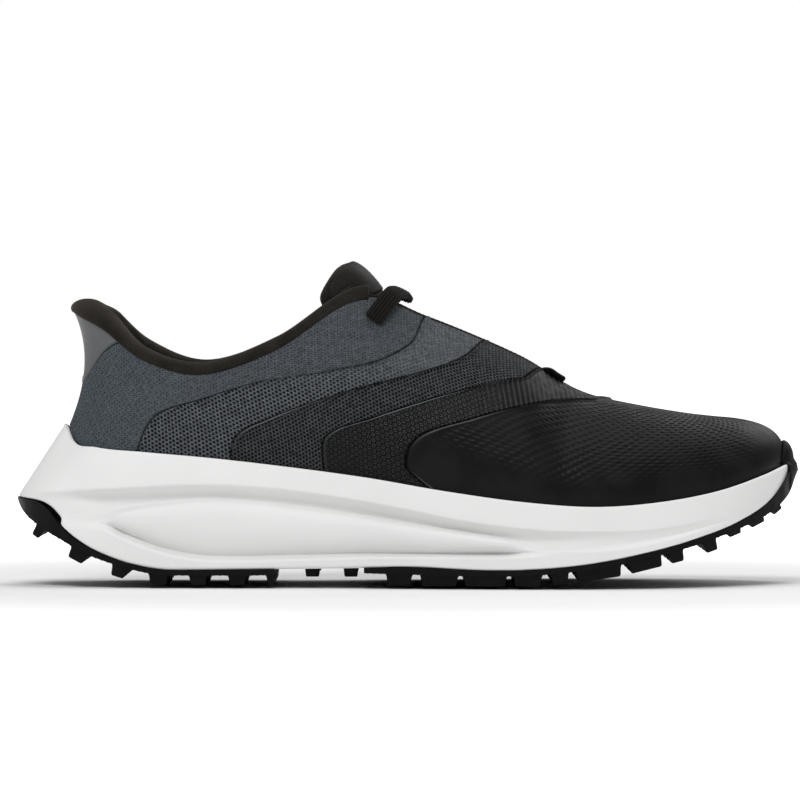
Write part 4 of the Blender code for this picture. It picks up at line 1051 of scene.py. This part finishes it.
def painted_seam_highlight(u, v, start, stop):
    """Share of painted highlight along the bead of a panel's rear seam, between two places along the shoe."""
    face = wall(u, np.clip(v, 0, 1))
    ahead = cumulative(face, 0)
    x = face[..., 0]
    return np.exp(-((ahead - 0.9) / 0.5) ** 2) * fade(x, start - 8, start + 4) * fade(x, stop + 12, stop - 8)


def panel_part(u, v, relief, painted_highlight_share=0.0):
    """Outer face, inner face and cloth places of a part of a panel; the cloth places carry its painted
    highlight share.
    """
    return upper(u, v, -relief), upper(u, v, np.full_like(relief, 0.9)), sheet_place(u, v, painted_highlight_share)


def quarter_rear(count):
    """Rear edge of the quarter: back seam, heel panel edge, then the topline."""
    row = np.linspace(0, 16, count)
    u = np.interp(row, [0, 1, 7, 16], [0.004, 0.004, HEEL_PANEL_REACH, FACING - 0.2])
    edge = heel_panel_edge(u) - 0.006
    v = np.where(row < 1, row * edge, np.where(row < 7, np.minimum(edge, 1), 1.0))
    return np.stack([u, v], axis=1)


def heel_panel_edge(u):
    """Lower edge of the heel panel as a v, rising from the heel centre to the top edge."""
    share = np.clip(fold(u) / HEEL_PANEL_REACH, 0, 1)
    return HEEL_PANEL_LOW + (1 - HEEL_PANEL_LOW) * (0.35 * share + 0.65 * share ** 2)


EYELET_SPOT = (-14.0, 101.6)
EYELET_DEPTH, EYELET_RADIUS = 0.9, 2.6


def eyelet_dent(u, v):
    """Dent of the panel round the top lace's eyelet."""
    spot_u, spot_v = locate(*EYELET_SPOT)
    gap = np.hypot((u - spot_u) * 32, (v - spot_v) * 72)
    return -EYELET_DEPTH * np.exp(-(gap / EYELET_RADIUS) ** 2)


def add_quarter(word, side, front):
    """Grey knit panel round the heel and up to the facing."""
    rear = quarter_rear(241)
    u, v = between(rear, inset_seam(resampled(front, 241), -1), 169, side)
    relief = panel_relief(u, v, False) + eyelet_dent(fold(u), v)
    sheet_solid("knit_quarter_" + word, [panel_part(u, v, relief)], KNIT_GREY, "grey_knit", 8,
                replaces=["quarter_" + word])


def add_bands(word, side, rear, middle, front):
    """The two curved knit bands of one side."""
    for name, look, slot, start, stop, lit in (("rear_band_", KNIT_DOTS, "grey_band", rear, middle, 0.0),
                                               ("middle_band_", KNIT_DARK, "dark_band", middle, front, 0.8)):
        u, v = between(inset_seam(resampled(start, 217), 1), inset_seam(resampled(stop, 217), -1), 73, side)
        # Painted highlight along the rear seam bead; lit sets its strength for each band.
        painted_shine = lit * painted_seam_highlight(u, v, -60, -26)
        part = panel_part(u, v, panel_relief(u, v, True), painted_shine)
        sheet_solid("knit_" + name + word, [part], look, slot, 8, replaces=[name + word])


def add_heel_panel():
    """Smooth panel under the collar at the back of the heel."""
    u = np.linspace(-HEEL_PANEL_REACH * 0.985, HEEL_PANEL_REACH * 0.985, 193)[:, None]
    low = heel_panel_edge(u)
    v = low + (1 - low) * np.linspace(0, 1, 97)[None, :]
    u, v = np.broadcast_arrays(u, v)
    face = wall(u, v)
    rise = cumulative(face, 1)
    relief = edge_drop(rise, 0.8, 1.0) + 0.3 * np.exp(-((rise - 1.3) / 0.8) ** 2)
    sheet_solid("film_heel", [panel_part(u, v, relief)], SATIN, "heel_grey", 8, replaces=["heel_panel"])


def add_front_band(start, stop):
    """Black film band of both sides, joined over the instep."""
    parts = []
    for side in (-1, 1):
        u, v = between(inset_seam(resampled(start, 217), 1), inset_seam(resampled(stop, 217), -1), 97, side)
        # Painted highlight along the film band's rear seam bead.
        parts.append(panel_part(u, v, panel_relief(u, v, True), painted_seam_highlight(u, v, -26, 16)))
    sheet_solid("film_front_band", parts, FILM_BLACK, "black_band", 8, replaces=["front_band"])


DIMPLE_PITCH, DIMPLE_ROWS, DIMPLE_SLOPE = 4.1, 1.75, 0.13
DIMPLE_LENGTH, DIMPLE_WIDTH, DIMPLE_DEPTH = 1.45, 0.55, 0.36


def dimples(u, v):
    """Staggered rows of long shallow dimples that fade towards the toe, the sole and the crest."""
    place = sheet_place(u, v)
    along = place[..., 0] - DIMPLE_SLOPE * place[..., 1]
    up = place[..., 1] + DIMPLE_SLOPE * place[..., 0]
    row = np.floor(up / DIMPLE_ROWS)
    dy = up - (row + 0.5) * DIMPLE_ROWS
    shifted = along / DIMPLE_PITCH + 0.5 * (row % 2)
    dx = (shifted - np.floor(shifted) - 0.5) * DIMPLE_PITCH
    bowl = np.clip(1 - (dx / DIMPLE_LENGTH) ** 2 - (dy / DIMPLE_WIDTH) ** 2, 0, 1)
    face = wall(u, v)
    x, z = face[..., 0], face[..., 2]
    there = fade(x, 140, 118) * fade(v, 0.05, 0.24) * fade(v, 1.0, 0.9)
    there = there * (0.25 + 0.75 * fade(x + 0.6 * z, 35, 62))
    return -DIMPLE_DEPTH * bowl * there


def add_toe_panel(start):
    """Dimpled leather over the toe."""
    rows, columns = 161, 249
    tip = np.stack([np.full(rows, float(TOE)), np.linspace(0, 1, rows)], axis=1)
    rear = inset_seam(resampled(start, rows), 1)
    u, v = between(rear, tip, columns, -1)
    relief = panel_relief(u, v, True, (True, False)) + dimples(u, v)
    # Painted highlight along the toe panel's rear seam bead.
    painted_shine = 0.8 * painted_seam_highlight(u, v, 8, 30)
    parts = [panel_part(u, v, relief, painted_shine), panel_part(ROUND - u, v, relief, painted_shine)]
    sheet_solid("leather_toe", parts, LEATHER, "black_leather", 8, replaces=["toe_panel"])


def add_bootie():
    """Dark stretch layer that shows in the grooves between the panels and inside the throat."""
    u = np.linspace(0, ROUND, 361)[:, None]
    v = np.concatenate([[-1.0, -0.5], 1 - (1 - np.linspace(0, 1, 41)) ** 1.4])[None, :]
    u, v = np.broadcast_arrays(u, v)
    outer, inner = upper(u, v, np.full_like(u, 1.4)), upper(u, v, np.full_like(u, 3.1))
    shell = Shell()
    note = sheet_place(u, v)
    shell.grid(outer, note)
    shell.grid(inner, note)
    shell.grid(np.stack([outer[:, 0], inner[:, 0]], axis=1))
    for mouth in (u[:, 0] <= RIDGE, u[:, 0] >= ROUND - RIDGE):
        shell.grid(np.stack([outer[mouth, -1], inner[mouth, -1]], axis=1))
    shell.build("cloth_bootie", MESH_CLOTH, "black_textile", ["bootie_textile"])


# ---------------------------------------------------------------- collar, tongue and sockliner

COLLAR_SPAN = 6.15
COLLAR_HEIGHTS = np.concatenate([np.linspace(-0.3, 0.5, 12), np.linspace(0.54, 1.0, 18)])


def padding(u, v):
    """Extra thickness of the collar's padding, thick round the heel and thin at the facing."""
    heel = np.clip(1 - fold(u) / COLLAR_SPAN, 0, 1)
    swell = np.sin(np.clip((v - 0.35) / 0.65, 0, 1) * math.pi * 0.62)
    return (1.4 + 7.3 * heel ** 0.8) * swell


def collar_section(u, inset, v):
    """Inner face through the heights v, then over the rolled top edge to the outside."""
    thinned = 1.6 * np.clip((fold(u) - 3.7) / 0.8, 0, 1)
    depth = LINING_DEPTH + LINING_THICKNESS - thinned + padding(u, v) - inset
    inner = upper(np.full_like(v, u), v, depth)
    outer = wall(np.full_like(v, u), v)
    inner[:, 2] += (outer - inner)[:, 2] * np.clip((v - 0.6) / 0.4, 0, 1)
    side = outward(u)
    top = top_edge(u)
    reach = float(np.dot(top - inner[-1], side))
    outer_edge = -0.75 + inset
    centre = top - side * (reach + outer_edge) / 2
    radius = (reach - outer_edge) / 2
    turn = np.linspace(0, math.pi, 17)[1:]
    base = inner[-1][2] * (1 + np.cos(turn)) / 2 + (top[2] + 0.2) * (1 - np.cos(turn)) / 2
    crown = centre - side * radius * np.cos(turn)[:, None]
    crown[:, 2] = base + (3.9 - inset) * np.sin(turn)
    hem = upper(np.full(2, u), np.array([0.988, 0.972]), np.array([-0.75, -0.3]) + inset)
    return np.concatenate([inner, crown, hem])


def add_collar():
    """Padded collar, rolled over the topline from facing to facing."""
    stations = np.linspace(-COLLAR_SPAN, COLLAR_SPAN, 261)
    loops = []
    for u in stations:
        face = collar_section(u, 0.0, COLLAR_HEIGHTS)
        back = collar_section(u, 0.9, COLLAR_HEIGHTS)
        loops.append(np.concatenate([face, back[::-1]]))
    shell = Shell()
    shell.grid(np.array(loops).transpose(1, 0, 2), closed=True)
    for loop in (loops[0], loops[-1]):
        shell.loops.append([int(k) for k in shell.add(loop)])
    collar = shell.build("padded_collar", TEXTILE, "black_textile", ["collar_lining"], sharp=70)


TONGUE_BODY = [(64, 67.4, 30, 12), (54, 73.6, 30, 15), (42, 81.2, 29, 18), (28, 88.6, 28, 22),
               (14, 94.9, 25, 26), (2, 100.8, 22, 28), (-5.5, 107.2, 21, 29)]
TONGUE_TOP = [(-5.2, 106.6, 21, 28), (-6.4, 109.4, 21, 29), (-7.4, 111.4, 21, 30), (-8.6, 113.0, 21, 34),
              (-11.6, 117.0, 21, 35), (-14.8, 120.8, 21, 33.5),
              (-18.2, 123.8, 21, 28), (-22.0, 125.8, 21, 22)]
TONGUE_LEAN = (0.88, 0.47)
TONGUE_PATCH = [(-9.6, 114.3, 21, 29.0), (-12.6, 118.2, 21, 30.0), (-16.0, 121.8, 21, 28.0),
                (-18.8, 124.0, 21, 24.5), (-21.6, 125.4, 21, 20.0)]


def arch(line, depth, columns, lean=None):
    """Grid of an arched strip, depth mm under its outer face; it bows along lean or square to the line."""
    run = np.gradient(line[:, :2], axis=0)
    run /= np.linalg.norm(run, axis=1, keepdims=True)
    if lean:
        run = np.broadcast_to([-lean[1], lean[0]], run.shape)
    turn = columns[None, :] * (line[:, 3] / line[:, 2])[:, None]
    reach = line[:, 2][:, None] - depth
    rise = reach * np.cos(turn) - line[:, 2][:, None]
    return np.stack([line[:, 0][:, None] + rise * run[:, 1][:, None], reach * np.sin(turn),
                     line[:, 1][:, None] - rise * run[:, 0][:, None]], axis=-1)


def rounded_end(rows, start, least=0.3):
    """Share of a strip's width kept at each row: all of it at first, then less round its far end."""
    share = np.clip((np.linspace(0, 1, rows) - start) / (1 - start), 0, 1)
    return least + (1 - least) * np.sqrt(1 - share ** 2.4)


def add_pad(name, line, rows, columns, thickness, look, slot, replaces, body, lean=None, crowned=False):
    """Padded strip: thickest in the middle, rounded to a thin edge all round."""
    line = path_and_run(line, rows, 2)[0]
    across = np.linspace(-1, 1, columns)
    ends = np.linspace(-1, 1, rows)
    plump = (1 - np.abs(across) ** 6)[None, :] ** 0.5 * (1 - np.abs(ends) ** 10)[:, None] ** 0.5
    half = thickness / 2
    if crowned:
        line[:, 3] *= rounded_end(rows, 0.64)
    outer = arch(line, half - half * plump, across, lean)
    inner = arch(line, half + half * plump, across, lean)
    note = noted(np.linspace(0, 40, rows)[:, None], 30 * across[None, :])
    shell = Shell()
    shell.grid(outer, note)
    shell.grid(inner, note)
    return shell.build(name, look, slot, replaces, body=body, sharp=80)


# Where the patch's small holes are (x, z).
PATCH_HOLES = ((-25.2, 114.2), (-23.4, 115.2))


def add_tongue():
    """Thin mesh tongue, its padded top across the fold, and the smooth patch on the top's front."""
    body = add_pad("tongue_mesh", TONGUE_BODY, 97, 65, 3.0, MESH_CLOTH, "black_textile", ["tongue_body"],
                   "shoe")
    top = add_pad("tongue_padded_top", TONGUE_TOP, 81, 81, 6.2, TEXTILE, "black_textile", ["tongue_top"],
                  None, TONGUE_LEAN, crowned=True)
    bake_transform(top)
    line = path_and_run(TONGUE_PATCH, 61, 2)[0]
    line[:, 3] *= rounded_end(61, 0.5, 0.35)
    across = np.linspace(-1, 1, 97)
    from_sides = (1 - np.abs(across))[None, :] * line[:, 3:]
    from_ends = (1 - np.abs(np.linspace(-1, 1, 61)))[:, None] * 9
    edge = np.minimum(from_sides, from_ends)
    lift = 0.75 + edge_drop(edge, 0.6, 1.2)
    holes = np.zeros_like(edge)
    places = arch(line, 0.0, across, TONGUE_LEAN)
    for hole_x, hole_z in PATCH_HOLES:
        gap = (places[..., 0] - hole_x) ** 2 + (places[..., 2] - hole_z) ** 2
        holes -= 0.7 * np.exp(-gap / 0.16)
    shell = Shell()
    outer = arch(line, -(lift + holes), across, TONGUE_LEAN)
    inner = arch(line, np.full_like(edge, -0.1), across, TONGUE_LEAN)
    shell.grid(outer)
    shell.grid(inner)
    shell.rim(outer, inner)
    shell.build("tongue_leather_patch", PATCH, "black_leather", ["tongue_patch"], body="tongue_flap")


def add_sockliner():
    """Removable insole, gently dished, with a rounded edge."""
    stations = np.linspace(0.0, TOE, 201)
    across = np.linspace(0, 1, 49)
    edge = np.abs(2 * across - 1)[None, :]

    def rim(u):
        return feather(u) - outward(u) * 8.2

    def face(level, dish):
        grid = across_sole(stations, across, rim, lambda x: smooth(BED_HEIGHT, x) + level)
        ends = np.minimum(1, np.minimum(grid[..., 0] - grid[0, 0, 0], grid[-1, 0, 0] - grid[..., 0]) / 8)
        ends = 1 - np.clip(ends, 0, 1)
        grid[..., 2] += dish * np.maximum(edge ** 4, ends ** 2)
        grid[..., 2] -= 1.2 * fade(np.maximum(edge, ends), 0.965, 1.0)
        return grid

    top, bottom = face(5.6, 1.3), face(2.3, 0.0)
    shell = Shell()
    shell.grid(top)
    shell.grid(bottom)
    shell.rim(top, bottom, ends=False)
    sock = shell.build("padded_sockliner", SOCK, "sockliner_fabric", ["sockliner"], sharp=60)


# ---------------------------------------------------------------- laces and throat

EYELET = [(-13.4, 102.0), (-10.2, 106.2)]
TOP_LACE = [(-5.6, -25.0, 112.2), (-2.6, -13.5, 113.2), (-1.2, 0.0, 111.6)]
THROAT_LACE = [(3.0, -16.5, 96.2), (10.0, -6.0, 97.9), (18.0, 8.5, 95.5),
               (28.0, 1.0, 90.4), (38.0, -5.5, 86.1), (50.0, -1.0, 78.2)]


def lace(name, path, replaces, count, width=LACE_WIDTH, thickness=LACE_THICKNESS, ribs=LACE_RIBS):
    """Flat oval lace with lengthwise ribs along a smooth path."""
    line, run = path_and_run(path, count)
    ahead = np.gradient(line, axis=0)
    ahead /= np.linalg.norm(ahead, axis=1, keepdims=True)
    up = np.stack([np.full(count, 0.45), 0.013 * line[:, 1], np.ones(count)], axis=1)
    over = np.cross(up, ahead)
    over /= np.linalg.norm(over, axis=1, keepdims=True)
    up = np.cross(ahead, over)
    turn = np.linspace(0, 2 * math.pi, 97)[:-1]
    c, s = np.cos(turn), np.sin(turn)
    side = np.sign(c) * np.abs(c) ** 0.75
    ridge = 0.42 * np.abs(np.cos(side * math.pi * ribs / 2)) * np.abs(s) ** 0.4
    close = np.minimum(1, np.minimum(run, run[-1] - run) / 1.0)[:, None]
    shrink = 0.35 + 0.65 * np.sqrt(1 - (1 - close) ** 2)
    a = (width / 2 * side)[None, :] * shrink
    b = ((thickness / 2 - 0.12) * np.sign(s) * np.abs(s) ** 0.55 + np.sign(s) * ridge)[None, :] * shrink
    points = line[:, None] + over[:, None] * a[..., None] + up[:, None] * b[..., None]
    note = noted(run[:, None], (side * width / 2)[None, :])
    shell = Shell()
    ids = shell.grid(points.transpose(1, 0, 2), note.transpose(1, 0, 2), closed=True)
    shell.cap(ids)
    return shell.build(name, LACE, "lace_weave", replaces, sharp=80)


def add_laces():
    """Top lace from eyelet to eyelet, and the lower lace that zigzags down the throat."""
    ends = []
    for (x, z), lift in zip(EYELET, (0.9, 1.9)):
        u, v = locate(x, z)
        ends.append((u, v, lift))
    near = [upper(u, v, -lift) for u, v, lift in ends] + TOP_LACE
    far = [(x, -y, z) for x, y, z in TOP_LACE[-2::-1]]
    far += [upper(ROUND - u, v, -lift) for u, v, lift in ends[::-1]]
    lace("elastic_lace_top", near + far, ["lace_top"], 201)
    lace("elastic_lace_throat", THROAT_LACE, ["lace_throat"], 221)


# Webbing from edge to edge: place across it and how thick it is there.
WEBBING_SECTION = [(-1.25, 0.8), (-1.1, 1.0), (-0.5, 1.12), (0.0, 1.0), (0.5, 1.12), (1.1, 1.0), (1.25, 0.8)]


def add_lace_loops():
    """Webbing loops that reach in from the facing edges and hold the throat lace where it turns."""
    room, gap, web, fall, lean = 7.2, 2.0, 0.9, -0.5, 0.13
    for name, (x, y, z), edge in (("medial", THROAT_LACE[2], 16.2), ("lateral", THROAT_LACE[4], 12.4)):
        side, middle = np.sign(y), abs(y)
        near = middle - room
        wide, end = gap + web, near - web
        outline = [np.array(p, float) for p in ((edge, wide), (end, wide), (end, -wide), (edge, -wide),
                                                (edge, -gap), (near, -gap), (near, gap), (edge, gap))]
        fine = []
        for k in range(8):
            a, b = outline[k], outline[(k + 1) % 8]
            fine += [a + (b - a) * t for t in (0.0, 0.15, 0.5, 0.85)]
        rows = []
        for dx, shrink in WEBBING_SECTION:
            rows.append([(x + dx, side * a, z + b * (0.96 + 0.04 * shrink) + fall * dx - lean * (a - middle))
                         for a, b in fine])
        shell = Shell()
        ids = shell.grid(np.array(rows).transpose(1, 0, 2), closed=True)
        shell.cap(ids)
        shell.build("webbing_loop_" + name, LACE, "lace_weave", ["lace_loop_" + name], sharp=60)


def add_keeper():
    """Folded tab stitched over the lower end of the throat."""
    path = [(52.6, 1.0, 83.0), (55.6, 1.0, 82.9), (58.6, 1.0, 81.0), (61.6, 1.0, 79.2)]
    lace("webbing_keeper", path, ["throat_keeper"], 61, width=11.0, thickness=1.7, ribs=8)


def add_binding():
    """Thin dark binding along each facing edge of the throat."""
    for word, side in (("lateral", 1), ("medial", -1)):
        u = np.linspace(6.05, 8.98, 181) if side > 0 else np.linspace(ROUND - 6.05, ROUND - 8.98, 181)
        edge = top_edge(u)
        turn = np.linspace(0, 2 * math.pi, 17)[:-1]
        face = upper(u, np.full_like(u, 0.999), np.full_like(u, 0.55))
        out = edge - face
        out /= np.linalg.norm(out, axis=1, keepdims=True)
        run = np.gradient(edge, axis=0)
        run /= np.linalg.norm(run, axis=1, keepdims=True)
        rise = np.cross(run, out) * side
        distance = cumulative(edge[None], 1)[0]
        knots = 0.12 * np.abs(np.sin(distance * 1.6)) ** 3
        ring = out[:, None] * np.cos(turn)[None, :, None] * 0.85
        ring = ring + rise[:, None] * np.sin(turn)[None, :, None] * 0.75
        points = face[:, None] + ring * (1 + knots)[:, None, None]
        note = noted(distance[:, None], turn[None, :])
        shell = Shell()
        ids = shell.grid(points.transpose(1, 0, 2), note.transpose(1, 0, 2), closed=True)
        shell.cap(ids)
        shell.build("throat_binding_" + word, TEXTILE, "black_textile", sharp=80)


# ---------------------------------------------------------------- stage


def aimed(thing, place, target):
    """Places a light or camera and points it at a target."""
    thing.location = place
    thing.rotation_mode = "QUATERNION"
    thing.rotation_quaternion = (Vector(target) - Vector(place)).to_track_quat("-Z", "Y")
    bpy.context.scene.collection.objects.link(thing)


LIGHT_TARGET = (0, 0, 0.05)


def area_light(name, place, size, power):
    light = bpy.data.lights.new(name, "AREA")
    light.shape = "RECTANGLE"
    light.size, light.size_y = size
    light.energy = power
    aimed(bpy.data.objects.new(name, light), place, LIGHT_TARGET)


FLOOR_REACH, FLOOR_Z = 12.0, -0.0004
# Light of the surroundings, and the distances from the shoe over which a painted glow brings the floor up to
# white.
WORLD_LIGHT = 0.36
FLOOR_GLOW = (0.17, 0.6)


def add_stage():
    """Pale floor with a painted glow that turns it white away from the shoe, even surroundings and three soft
    lights.
    """
    scene = bpy.context.scene
    scene.view_settings.view_transform = "Standard"
    floor_look = Look("floor_pale", (0.87, 0.87, 0.87), 0.8, Specular_IOR_Level=0.05)
    cloud = floor_look.noise(300.0)
    floor_look.set("Base Color", floor_look.mix(cloud, (0.86, 0.86, 0.86), (0.88, 0.88, 0.88)))
    away = floor_look.node("ShaderNodeVectorMath", floor_look.here, operation="LENGTH").outputs["Value"]
    # Painted glow: the floor emits more light the further it lies from the shoe.
    floor_look.set("Emission Color", (1.0, 1.0, 1.0, 1.0))
    floor_look.set("Emission Strength", floor_look.range(away, *FLOOR_GLOW))
    mesh = bpy.data.meshes.new("floor")
    corners = [(a * FLOOR_REACH, b * FLOOR_REACH, FLOOR_Z) for a, b in ((-1, -1), (1, -1), (1, 1), (-1, 1))]
    mesh.from_pydata(corners, [], [(0, 1, 2, 3)])
    mesh.materials.append(floor_look.material)
    floor = bpy.data.objects.new("floor", mesh)
    scene.collection.objects.link(floor)

    world = bpy.data.worlds.new("studio")
    world.use_nodes = True
    tree = world.node_tree
    seen = tree.nodes.new("ShaderNodeLightPath").outputs["Is Camera Ray"]
    strength = tree.nodes.new("ShaderNodeMapRange")
    tree.links.new(seen, strength.inputs["Value"])
    strength.inputs["To Min"].default_value = WORLD_LIGHT
    strength.inputs["To Max"].default_value = 1.0
    tree.nodes["Background"].inputs["Color"].default_value = (1, 1, 1, 1)
    tree.links.new(strength.outputs["Result"], tree.nodes["Background"].inputs["Strength"])
    scene.world = world
    area_light("key", (-0.25, -1.15, 1.35), (0.8, 0.6), 15.0)
    area_light("top", (0.2, 0.1, 1.5), (1.0, 0.6), 6.5)
    area_light("rear", (0.7, 1.0, 0.9), (0.8, 0.6), 3.0)


CAMERA_DISTANCE = 2.2
FRAME_WIDTH = 0.312
CAMERA_TARGET = (-0.0027, 0.0, 0.0714)
CAMERA_RISE = 0.02


def add_camera():
    data = bpy.data.cameras.new("camera")
    data.sensor_width = 36.0
    data.lens = 36.0 * CAMERA_DISTANCE / FRAME_WIDTH
    camera = bpy.data.objects.new("camera", data)
    x, y, z = CAMERA_TARGET
    aimed(camera, (x, y - CAMERA_DISTANCE, z + CAMERA_RISE), CAMERA_TARGET)
    bpy.context.scene.camera = camera


# ---------------------------------------------------------------- assembly


def dress_cad_nodes():
    """Gives the nodes that stay as they are a finished material."""
    for node, look in (("strobel_board", BOARD), ("heel_counter", BOARD), ("toe_puff", BOARD),
                       ("eyestay_lateral", MESH_CLOTH), ("eyestay_medial", MESH_CLOTH),
                       ("vamp_lining", MESH_CLOTH), ("collar_foam", OPEN_FOAM)):
        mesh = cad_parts[node].data
        mesh.materials.clear()
        mesh.materials.append(look)


def build():
    """Makes every piece."""
    add_camera()
    add_stage()
    dress_cad_nodes()
    add_midsole()
    add_heel_outsole()
    add_forefoot_outsole()
    add_studs()
    rear, middle, front, toe = (seam(name) for name in SEAMS)
    add_bootie()
    for side, word in ((-1, "lateral"), (1, "medial")):
        add_quarter(word, side, rear)
        add_bands(word, side, rear, middle, front)
    add_front_band(front, toe)
    add_toe_panel(toe)
    add_heel_panel()
    add_collar()
    add_tongue()
    add_sockliner()
    add_laces()
    add_lace_loops()
    add_keeper()
    add_binding()


build()
